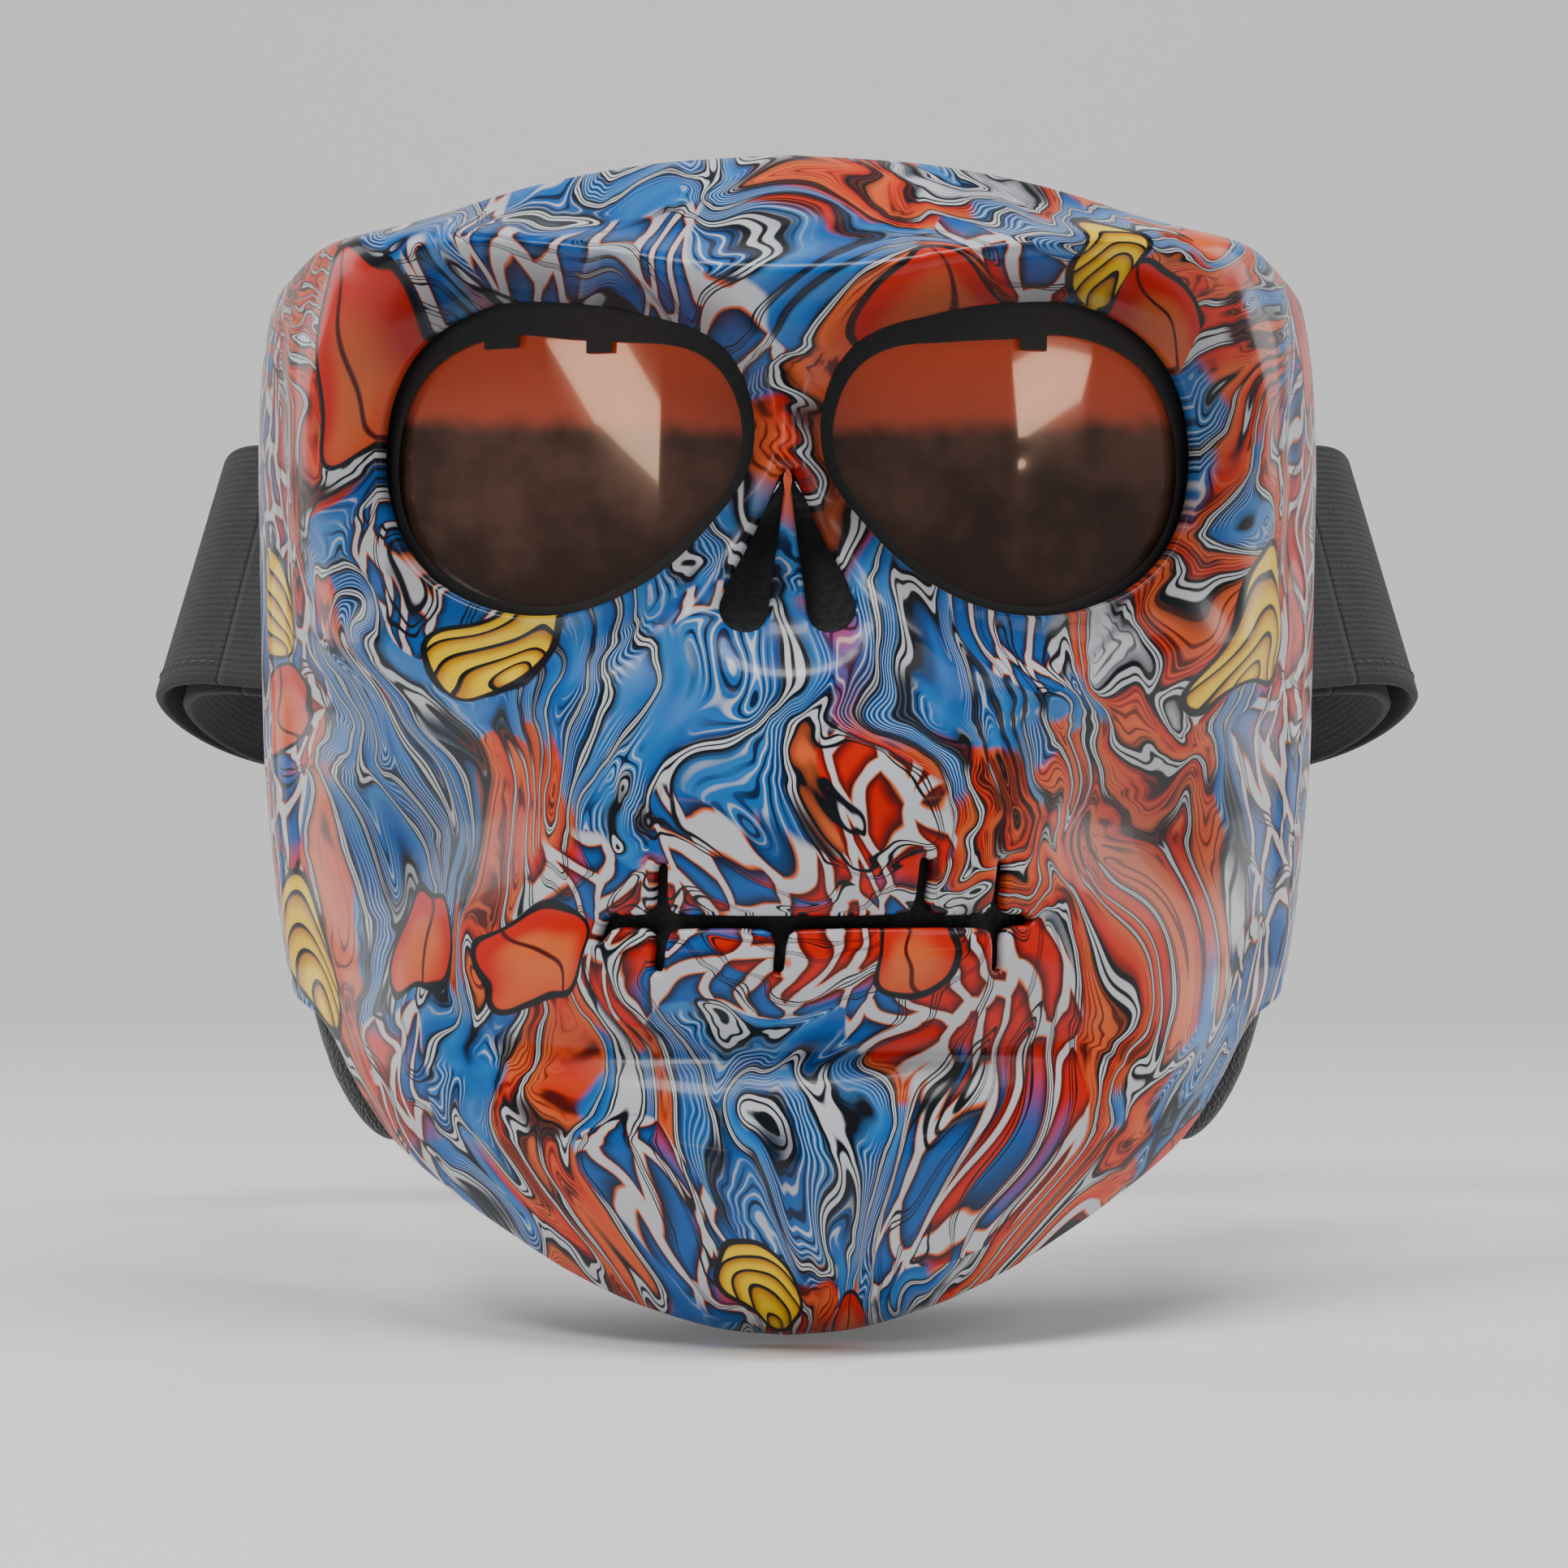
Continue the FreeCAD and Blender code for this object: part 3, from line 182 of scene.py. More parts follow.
def shell_face(angle, z, inward=0.0):
    """The shell's outer face at an angle round it and a height: a squared ellipse pushed out by the relief,
    and drawn onto the lenses' cylinder around the eyes."""
    angle, z = np.asarray(angle, float), np.asarray(z, float)
    turn = np.radians(np.abs(angle))
    rear, depth = through(REAR, z), through(REAR, z) - through(FRONT, z)
    x = section_x(turn, z)
    y = rear - depth * np.cos(turn) * (1 + through(SQUARENESS, z) * np.sin(turn) ** 2)
    outward = level_outward(angle, z)
    raised = relief(x, z, np.abs(angle))
    full_x = x + raised * np.abs(outward[..., 0])
    full_y = y + raised * outward[..., 1]
    around = np.arctan2(z, x - EYE_X)
    clear = np.hypot(x - EYE_X, z) - round_the_eye(EYE_RADIUS, around)
    rise = smooth(clear / round_the_eye(SOCKET_SLOPE, around))
    rim_y = on_lens_cylinder(np.minimum(x, 90.0), SOCKET_STEP)
    side = np.where(angle < 0, -1.0, 1.0)
    point = np.stack([side * (x + (full_x - x) * rise), rim_y + (full_y - rim_y) * rise, z], axis=-1)
    return point - outward * inward


def shell_outward(angle, z):
    """The shell face's own unit normal: the cross product of its steps round the face and up it."""
    step_round = shell_face(angle + 0.2, z) - shell_face(angle - 0.2, z)
    step_up = shell_face(angle, z + 0.35) - shell_face(angle, z - 0.35)
    normal = np.cross(step_round, step_up)
    return normal / np.linalg.norm(normal, axis=-1, keepdims=True)


def painted_recess_shade(angle, z):
    """Painted shade for the print: 0 on open parts of the face, towards 1 where it lies deep: down a socket's
    slope, deepest under the brow, and in a hollow.
    """
    x = section_x(np.radians(np.abs(angle)), z)
    around = np.arctan2(z, x - EYE_X)
    clear = np.hypot(x - EYE_X, z) - round_the_eye(EYE_RADIUS, around)
    socket = 1 - smooth(clear / (1.25 * round_the_eye(SOCKET_SLOPE, around)))
    brow_shadow = smooth((z - 12) / 14)
    sunk = np.clip(-relief(x, z, np.abs(angle)) / 6, 0, 1)
    return np.clip(socket * (0.35 + 0.55 * brow_shadow) + 0.45 * sunk, 0, 1)


def angle_at(x, z):
    """The angle round the face at which the plain section is x from the mid-plane, by Newton steps."""
    half, square = through(HALF_WIDTH, z), through(SQUARENESS, z)
    turn = np.arcsin(np.clip(np.abs(x) / half, 0, 0.999))
    for _ in range(6):
        miss = section_x(turn, z) - np.abs(x)
        rate = half * np.cos(turn) * (1 + square * (np.cos(turn) ** 2 - 2 * np.sin(turn) ** 2))
        turn = turn - miss / rate
    return np.degrees(turn) * np.sign(x)


# ---- meshes --------------------------------------------------------------------------------------------

def mesh_piece(name, points, faces, materials, corner_uv=None, face_material=None, point_value=None):
    """A smooth mesh from points in millimetres. corner_uv gives each face corner's place on the pattern, and
    point_value a number at each point that the material reads as painted shade."""
    mesh = bpy.data.meshes.new(name)
    mesh.from_pydata((np.asarray(points) * MM).tolist(), [], [list(map(int, face)) for face in faces])
    for material in materials:
        mesh.materials.append(material)
    mesh.polygons.foreach_set("use_smooth", np.ones(len(mesh.polygons), bool))
    if corner_uv is not None:
        layer = mesh.uv_layers.new(name="UVMap")
        layer.data.foreach_set("uv", (np.asarray(corner_uv) * MM).astype(np.float32).ravel())
    if point_value is not None:
        layer = mesh.attributes.new("painted_shade", "FLOAT", "POINT")
        layer.data.foreach_set("value", np.asarray(point_value, np.float32))
    if face_material is not None:
        mesh.polygons.foreach_set("material_index", np.asarray(face_material, np.int32))
    mesh.update()
    piece = bpy.data.objects.new(name, mesh)
    bpy.context.scene.collection.objects.link(piece)
    return piece


def grid_quads(rows, columns, closed_rows=False, closed_columns=False):
    """The quads between neighbouring points of a grid numbered row by row."""
    row = np.arange(rows if closed_rows else rows - 1)[:, None]
    column = np.arange(columns if closed_columns else columns - 1)[None, :]
    next_row, next_column = (row + 1) % rows, (column + 1) % columns
    corners = [row * columns + column, next_row * columns + column,
               next_row * columns + next_column, row * columns + next_column]
    return np.stack([np.broadcast_to(c, (row.size, column.size)) for c in corners], -1).reshape(-1, 4)


def outward_volume(points, faces):
    """Signed volume that a closed skin's faces hold: the sum of the tetrahedra to the origin."""
    total = 0.0
    for face in faces:
        corners = points[np.asarray(face)]
        for k in range(1, len(face) - 1):
            total += np.dot(corners[0], np.cross(corners[k], corners[k + 1]))
    return total


def pointing_out(points, faces):
    """The same faces, turned over if the skin they make is inside out."""
    if outward_volume(points, faces) >= 0:
        return [list(face) for face in faces]
    return [list(face)[::-1] for face in faces]


def skin_rings(rings):
    """Points and faces of a skin through closed rings of points, its ends shut by fans to their middles."""
    count, around = rings.shape[:2]
    points = np.concatenate([rings.reshape(-1, 3), rings[:1].mean(axis=1), rings[-1:].mean(axis=1)])
    faces = grid_quads(count, around, closed_columns=True).tolist()
    head, tail = count * around, count * around + 1
    last = (count - 1) * around
    for k in range(around):
        faces.append([head, k, (k + 1) % around])
        faces.append([tail, last + (k + 1) % around, last + k])
    return points, pointing_out(points, faces)


def joined(parts):
    """Several (points, faces) skins as one."""
    points, faces, first = [], [], 0
    for part_points, part_faces in parts:
        points.append(part_points)
        faces += [[index + first for index in face] for face in part_faces]
        first += len(part_points)
    return np.concatenate(points), faces


def evenly_spaced(loop, spacing):
    """Points at even steps along a closed outline."""
    closed = np.concatenate([loop, loop[:1]])
    length = np.concatenate([[0], np.cumsum(np.linalg.norm(np.diff(closed, axis=0), axis=1))])
    count = max(12, int(round(length[-1] / spacing)))
    at = np.arange(count) / count * length[-1]
    return np.stack([np.interp(at, length, closed[:, k]) for k in range(2)], axis=1)


def softened(loop):
    """A closed outline with its corners cut: each side keeps its middle half."""
    ahead = np.roll(loop, -1, axis=0)
    return np.stack([0.75 * loop + 0.25 * ahead, 0.25 * loop + 0.75 * ahead], axis=1).reshape(-1, 2)


# ---- openings of the shell, as outlines in X and Z -----------------------------------------------------

def eye_outline(side, moved):
    """Round the eye opening, moved outward by a distance."""
    around = full_turn(360)
    radius = round_the_eye(EYE_RADIUS, around) + moved
    return np.stack([side * (EYE_X + radius * np.cos(around)), radius * np.sin(around)], axis=1)


def nostril_outline(side, moved):
    """The outline round two circles: at each direction the farther circle's edge, so a long drop."""
    (top_x, top_z, top_radius), (foot_x, foot_z, foot_radius) = NOSTRIL
    lean = math.atan2(top_z - foot_z, top_x - foot_x)
    length = math.hypot(top_x - foot_x, top_z - foot_z)
    tangent = math.acos((foot_radius - top_radius) / length)
    top_arc = np.linspace(lean - tangent, lean + tangent, 24)
    foot_arc = np.linspace(lean + tangent, lean + 2 * np.pi - tangent, 36)
    top = np.stack([top_x + (top_radius + moved) * np.cos(top_arc),
                    top_z + (top_radius + moved) * np.sin(top_arc)], axis=1)
    foot = np.stack([foot_x + (foot_radius + moved) * np.cos(foot_arc),
                     foot_z + (foot_radius + moved) * np.sin(foot_arc)], axis=1)
    return np.concatenate([top, foot]) * [side, 1]


def mouth_outline(moved):
    """Round the slit: along its upper edge with a round-ended notch at each stitch, back along the lower edge
    the same way, and round the curl at its left end."""
    half, stitch = MOUTH_HALF + moved, STITCH_HALF + moved
    left, right = MOUTH_ENDS[0] - moved, MOUTH_ENDS[1] + moved
    turn = np.linspace(np.pi, 0, 7)
    edges = {1: [], -1: []}
    for x, up, down in STITCHES:
        for sign, reach in ((1, up), (-1, down)):
            if reach > MOUTH_HALF:
                lean = 0.06 * sign * (reach - stitch)
                foot = MOUTH_Z + sign * half
                crown = MOUTH_Z + sign * (reach + moved - stitch)
                arc_x, arc_z = x + lean + stitch * np.cos(turn), crown + sign * stitch * np.sin(turn)
                shoulder = foot + sign * 0.8
                edges[sign] += [(x - stitch * 1.5, foot), (x - stitch, shoulder), *zip(arc_x, arc_z),
                                (x + stitch, shoulder), (x + stitch * 1.5, foot)]
    curl = [(left + 2.5, MOUTH_Z - half), (left + 1.5, MOUTH_Z - half - 2.0),
            (left - 0.5, MOUTH_Z - half - 3.0), (left - 1.5, MOUTH_Z - half - 2.0),
            (left - 0.5, MOUTH_Z - 0.5), (left + 1.0, MOUTH_Z + half)]
    tip = [(right - 1.0, MOUTH_Z + half), (right + 0.3, MOUTH_Z + 0.4), (right + 0.3, MOUTH_Z - 0.4),
           (right - 1.0, MOUTH_Z - half)]
    return np.array(edges[1] + tip + edges[-1][::-1] + curl)


def edge_outline(moved):
    """Round the shell's own edge on the flat pattern: along the bottom, up the right, back along the top."""
    reach = HALF_ROUND - moved / DEGREE_LENGTH
    angle = np.linspace(-reach, reach, 700)
    low = through(BOTTOM_EDGE, np.abs(angle)) + moved
    high = through(TOP_EDGE, np.abs(angle)) - moved
    bottom = np.stack([angle * DEGREE_LENGTH, low], axis=1)
    top = np.stack([angle * DEGREE_LENGTH, high], axis=1)[::-1]
    sides = [np.linspace(start, end, 60)[1:-1] for start, end in ((bottom[-1], top[0]), (top[-1], bottom[0]))]
    return np.concatenate([bottom, sides[0], top, sides[1]])


def on_pattern(outline):
    """An outline in X and Z moved onto the flat pattern, evenly spaced, running clockwise for a hole."""
    loop = np.stack([angle_at(outline[:, 0], outline[:, 1]) * DEGREE_LENGTH, outline[:, 1]], axis=1)
    loop = evenly_spaced(loop, 0.95)
    ahead = np.roll(loop, -1, axis=0)
    area = np.sum(loop[:, 0] * ahead[:, 1] - ahead[:, 0] * loop[:, 1])
    return loop[::-1] if area > 0 else loop


POINTS_AT_ONCE = 4000


def inside(points, loops):
    """Whether each point is inside an odd number of closed outlines, by counting the edges to its right."""
    crossings = np.zeros(len(points), int)
    for loop in loops:
        ahead = np.roll(loop, -1, axis=0)
        for start in range(0, len(points), POINTS_AT_ONCE):
            part = slice(start, start + POINTS_AT_ONCE)
            x, y = points[part, :1], points[part, 1:]
            spans = (loop[:, 1] > y) != (ahead[:, 1] > y)
            rise = np.where(ahead[:, 1] == loop[:, 1], 1, ahead[:, 1] - loop[:, 1])
            at = loop[:, 0] + (y - loop[:, 1]) / rise * (ahead[:, 0] - loop[:, 0])
            crossings[part] += np.sum(spans & (x < at), axis=1)
    return crossings % 2 == 1


def clear_of(points, edge_points, distance):
    """Whether each point is at least a distance from every edge point."""
    keep = np.ones(len(points), bool)
    for start in range(0, len(points), POINTS_AT_ONCE):
        part = slice(start, start + POINTS_AT_ONCE)
        apart = np.hypot(points[part, :1] - edge_points[:, 0], points[part, 1:] - edge_points[:, 1])
        keep[part] = apart.min(axis=1) > distance
    return keep


def flat_pattern(loops, spacing):
    """The shell's flat pattern as triangles: its edge points and a triangular grid of inner points, joined by
    Delaunay's rule with the edges kept. Returns the points, the triangles and each loop's point numbers."""
    edge_points = np.concatenate(loops)
    low, high = edge_points.min(axis=0), edge_points.max(axis=0)
    row_step = spacing * math.sqrt(0.75)
    rows = np.arange(low[1], high[1], row_step)
    columns = np.arange(low[0], high[0], spacing)
    grid_x = columns[None, :] + spacing * 0.5 * (np.arange(len(rows)) % 2)[:, None]
    grid = np.stack([grid_x, np.broadcast_to(rows[:, None], grid_x.shape)], axis=-1).reshape(-1, 2)
    grid = grid[inside(grid, loops)]
    grid = grid[clear_of(grid, edge_points, 0.7 * spacing)]
    points = np.concatenate([edge_points, grid])
    edges, numbers, first = [], [], 0
    for loop in loops:
        own = np.arange(first, first + len(loop))
        numbers.append(own)
        edges += list(zip(own.tolist(), np.roll(own, -1).tolist()))
        first += len(loop)
    made = delaunay_2d_cdt([Vector(point) for point in points.tolist()], edges, [], 0, 1e-6)
    new_points = np.array([list(point) for point in made[0]])
    new_number = np.zeros(len(points), int)
    for new, old_numbers in enumerate(made[3]):
        for old in old_numbers:
            new_number[old] = new
    triangles = np.array(made[2])
    triangles = triangles[inside(new_points[triangles].mean(axis=1), loops)]
    a, b, c = (new_points[triangles[:, k]] for k in range(3))
    turned = (b[:, 0] - a[:, 0]) * (c[:, 1] - a[:, 1]) - (b[:, 1] - a[:, 1]) * (c[:, 0] - a[:, 0]) < 0
    triangles[turned] = triangles[turned][:, ::-1]
    return new_points, triangles, [new_number[own] for own in numbers]


def shell_piece(print_finish, inner_finish):
    """The moulded shell: its face and the same face one wall further in, joined round every edge by half of
    an oval, so that each opening has a rounded lip."""
    small_round = EDGE_ROUND * 0.6
    loops = [evenly_spaced(edge_outline(EDGE_ROUND), 1.1)]
    loops += [on_pattern(eye_outline(side, EDGE_ROUND)) for side in SIDES.values()]
    loops += [on_pattern(nostril_outline(side, small_round)) for side in SIDES.values()]
    loops.append(on_pattern(softened(mouth_outline(small_round))))
    pattern, triangles, numbers = flat_pattern(loops, SHELL_SPACING)
    angle, z = pattern[:, 0] / DEGREE_LENGTH, pattern[:, 1]
    outer = shell_face(angle, z)
    normal = shell_outward(angle, z)
    inner = outer - SHELL_WALL * normal
    count = len(pattern)
    points, place = [outer, inner], [pattern, pattern]
    faces = [triangles, triangles[:, ::-1] + count]
    tints = [np.zeros(len(triangles)), np.ones(len(triangles))]
    steps, printed_steps = 6, 4
    first = 2 * count
    for own in numbers:
        middle = 0.5 * (outer[own] + inner[own])
        along = np.roll(outer[own], -1, axis=0) - np.roll(outer[own], 1, axis=0)
        away = np.cross(along, normal[own])
        away /= np.linalg.norm(away, axis=1, keepdims=True)
        turn = np.linspace(0, np.pi, steps + 1)[1:-1, None, None]
        rings = middle + 0.5 * SHELL_WALL * np.cos(turn) * normal[own] + EDGE_ROUND * np.sin(turn) * away
        points.append(rings.reshape(-1, 3))
        place.append(np.tile(pattern[own], (steps - 1, 1)))
        between = [first + np.arange(len(own)) + k * len(own) for k in range(steps - 1)]
        rows = [own, *between, own + count]
        for k, (near, far) in enumerate(zip(rows, rows[1:])):
            quads = np.stack([near, far, np.roll(far, -1), np.roll(near, -1)], axis=1)
            faces += [quads[:, [0, 1, 2]], quads[:, [0, 2, 3]]]
            tints.append(np.full(2 * len(quads), 0 if k < printed_steps else 1))
        first += (steps - 1) * len(own)
    faces = np.concatenate(faces)
    place = np.concatenate(place)
    # point_value is painted shade: larger where the face lies deep, down the sockets and in the hollows.
    piece = mesh_piece("face_shell_printed", np.concatenate(points), faces, [print_finish, inner_finish],
                       corner_uv=place[faces.reshape(-1)], face_material=np.concatenate(tints),
                       point_value=painted_recess_shade(place[:, 0] / DEGREE_LENGTH, place[:, 1]))
    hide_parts("face_shell")
    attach(piece, "shell")
    return piece


# ---- shader nodes --------------------------------------------------------------------------------------

class Shade:
    """A shader value that Python arithmetic works on: each operation adds a Math node to its material."""

    def __init__(self, tree, socket=None):
        self.tree = tree
        self.socket = socket

    def node(self, kind, settings=None, links=None, output=0):
        """Adds a node of any kind: its settings first, then the values or links of its sockets."""
        made = self.tree.nodes.new(kind)
        for name, value in (settings or {}).items():
            setattr(made, name, value)
        for name, value in (links or {}).items():
            if isinstance(value, Shade):
                self.tree.links.new(value.socket, made.inputs[name])
            else:
                made.inputs[name].default_value = value
        return Shade(self.tree, made.outputs[output])

    def math(self, operation, *values):
        return self.node("ShaderNodeMath", {"operation": operation}, dict(enumerate(values)))

    def __add__(self, other):
        return self.math("ADD", self, other)

    def __sub__(self, other):
        return self.math("SUBTRACT", self, other)

    def __rsub__(self, other):
        return self.math("SUBTRACT", other, self)

    def __mul__(self, other):
        return self.math("MULTIPLY", self, other)

    def __truediv__(self, other):
        return self.math("DIVIDE", self, other)

    def __pow__(self, other):
        return self.math("POWER", self, other)

    __rmul__ = __mul__

    def part(self):
        """What is left past the whole number below."""
        return self.math("FRACT", self)

    def size(self):
        return self.math("ABSOLUTE", self)

    def wave(self):
        return self.math("SINE", self)

    def most(self, other):
        return self.math("MAXIMUM", self, other)

    def ramp(self, low, high):
        """0 at low, 1 at high, smooth in between. high may be below low."""
        return self.node("ShaderNodeMapRange", {"interpolation_type": "SMOOTHSTEP"},
                         {"Value": self, "From Min": low, "From Max": high})

    def tint(self, first, second):
        """The first colour where this is 0 and the second where it is 1."""
        first, second = (given if isinstance(given, Shade) else (*given, 1.0) for given in (first, second))
        return self.node("ShaderNodeMix", {"data_type": "RGBA"}, {0: self, 6: first, 7: second}, 2)

    def vector(self, x, y, z=0.0):
        return self.node("ShaderNodeCombineXYZ", None, {0: x, 1: y, 2: z})

    def parts(self):
        made = self.tree.nodes.new("ShaderNodeSeparateXYZ")
        self.tree.links.new(self.socket, made.inputs[0])
        return [Shade(self.tree, output) for output in made.outputs]

    def noise(self, scale, detail=1.0, roughness=0.5, output=0, dimensions="2D"):
        """Cloud noise over this vector: a value with output 0, or a colour with output 1."""
        return self.node("ShaderNodeTexNoise", {"noise_dimensions": dimensions},
                         {"Vector": self, "Scale": scale, "Detail": detail, "Roughness": roughness}, output)

    def moved_by_noise(self, scale, reach):
        """This vector pushed up to reach by a noise of the given scale."""
        push = self.node("ShaderNodeVectorMath", {"operation": "SUBTRACT"},
                         {0: self.noise(scale, output=1), 1: (0.5, 0.5, 0.5)})
        push = self.node("ShaderNodeVectorMath", {"operation": "SCALE"}, {0: push, "Scale": 2.0 * reach})
        return self.node("ShaderNodeVectorMath", {"operation": "ADD"}, {0: self, 1: push})


def new_finish(name, colour=(0.5, 0.5, 0.5), roughness=0.5, **constants):
    """A material with its plain surface values; returns it, its shader and a Shade to build on."""
    material = bpy.data.materials.new(name)
    material.use_nodes = True
    tree = material.node_tree
    shader = tree.nodes["Principled BSDF"]
    shader.inputs["Base Color"].default_value = (*colour, 1.0)
    shader.inputs["Roughness"].default_value = roughness
    for key, value in constants.items():
        shader.inputs[key.replace("_", " ").title().replace("Ior", "IOR")].default_value = value
    return material, shader, Shade(tree)


def feed(shader, name, value):
    value.tree.links.new(value.socket, shader.inputs[name])


def bump(shader, height, strength, distance):
    links = {"Strength": strength, "Distance": distance, "Height": height}
    feed(shader, "Normal", height.node("ShaderNodeBump", None, links))


# ---- finishes ------------------------------------------------------------------------------------------

INK = (0.006, 0.007, 0.010)
NAVY = (0.004, 0.016, 0.055)
BLUE = (0.004, 0.095, 0.36)
SKY = (0.035, 0.20, 0.52)
WHITE = (0.56, 0.57, 0.60)
GREY = (0.07, 0.085, 0.11)
RED = (0.60, 0.010, 0.002)
DARK_RED = (0.085, 0.004, 0.003)
PEACH = (0.70, 0.125, 0.030)
YELLOW = (0.90, 0.58, 0.003)
AMBER = (0.52, 0.20, 0.003)

# Where the print leans to blue, or to red when the pull is below 0. For each place on the flat pattern: how
# far across and up it lies, its half-width, its half-height and its pull.
COLOUR_ZONES = [
    (0, -122, 34, 20, 0.20), (-86, -78, 24, 34, 0.22), (88, -92, 22, 30, 0.18), (-30, -40, 22, 18, 0.14),
    (-56, -62, 12, 46, -0.26), (52, -70, 26, 20, -0.14), (0, 46, 30, 12, -0.10), (110, 0, 22, 60, -0.10),
    (-112, -10, 22, 60, -0.12), (30, -16, 26, 30, 0.08)]
BANDS = 12.0
HAIRS = 92.0


def colour_zone(made, across, up, x, z, lot):
    """Above a half where the print is blue and below it where it is red: a slow noise, the places listed
    above and a little of each band's own lot."""
    zone = made.vector(x / 46, z / 60).noise(1.0, 1.0)
    zone = zone + 0.22 * (lot - 0.5)
    for zone_across, zone_up, wide, high, pull in COLOUR_ZONES:
        reach = ((across - zone_across) / wide) ** 2.0 + ((up - zone_up) / high) ** 2.0
        zone = zone + pull * made.math("EXPONENT", reach * -1.0)
    return zone


def lace(made, x, z, zone):
    """White filaments round holes that are blue or red, with a peach rim."""
    net = made.node("ShaderNodeTexVoronoi", {"voronoi_dimensions": "2D", "feature": "DISTANCE_TO_EDGE"},
                    {"Vector": made.vector(x / 6.5, z / 14), "Scale": 1.0, "Randomness": 1.0})
    holes = net.ramp(0.10, 0.34).tint(INK, zone.ramp(0.48, 0.53).tint(RED, BLUE))
    holes = net.ramp(0.14, 0.11).tint(holes, PEACH)
    return net.ramp(0.115, 0.085).tint(holes, WHITE)


def motifs(made, place):
    """Round spots in some cells of the plane. Returns where a spot lies, where it lies with its dark ring,
    and its colour: a striped yellow shell or a veined red petal."""
    cell = made.node("ShaderNodeTexVoronoi", {"voronoi_dimensions": "2D", "feature": "F1"},
                     {"Vector": place, "Scale": 1 / 36, "Randomness": 0.85})
    outputs = cell.socket.node.outputs
    distance = Shade(made.tree, outputs["Distance"])
    chance, kind_of, _ = Shade(made.tree, outputs["Color"]).parts()
    centre = Shade(made.tree, outputs["Position"])
    offset = made.node("ShaderNodeVectorMath", {"operation": "SUBTRACT"}, {0: place, 1: centre})
    x, z, _ = offset.parts()
    chosen = chance.ramp(0.60, 0.61)
    spot = distance.ramp(0.262, 0.250) * chosen
    ringed_spot = distance.ramp(0.300, 0.290) * chosen
    arcs = ((x * x + (z + 8.0) * (z + 8.0)) ** 0.5 * 0.27).part()
    shells = arcs.ramp(0.74, 0.86).tint(arcs.ramp(0.25, 0.8).tint(YELLOW, AMBER), INK)
    petals = (distance * 4.0 + 0.05 * z).ramp(0.25, 0.95).tint(PEACH, RED)
    petals = ((x + 0.35 * z) * 0.22).wave().size().ramp(0.16, 0.05).tint(petals, DARK_RED)
    return spot, ringed_spot, kind_of.ramp(0.55, 0.56).tint(shells, petals)


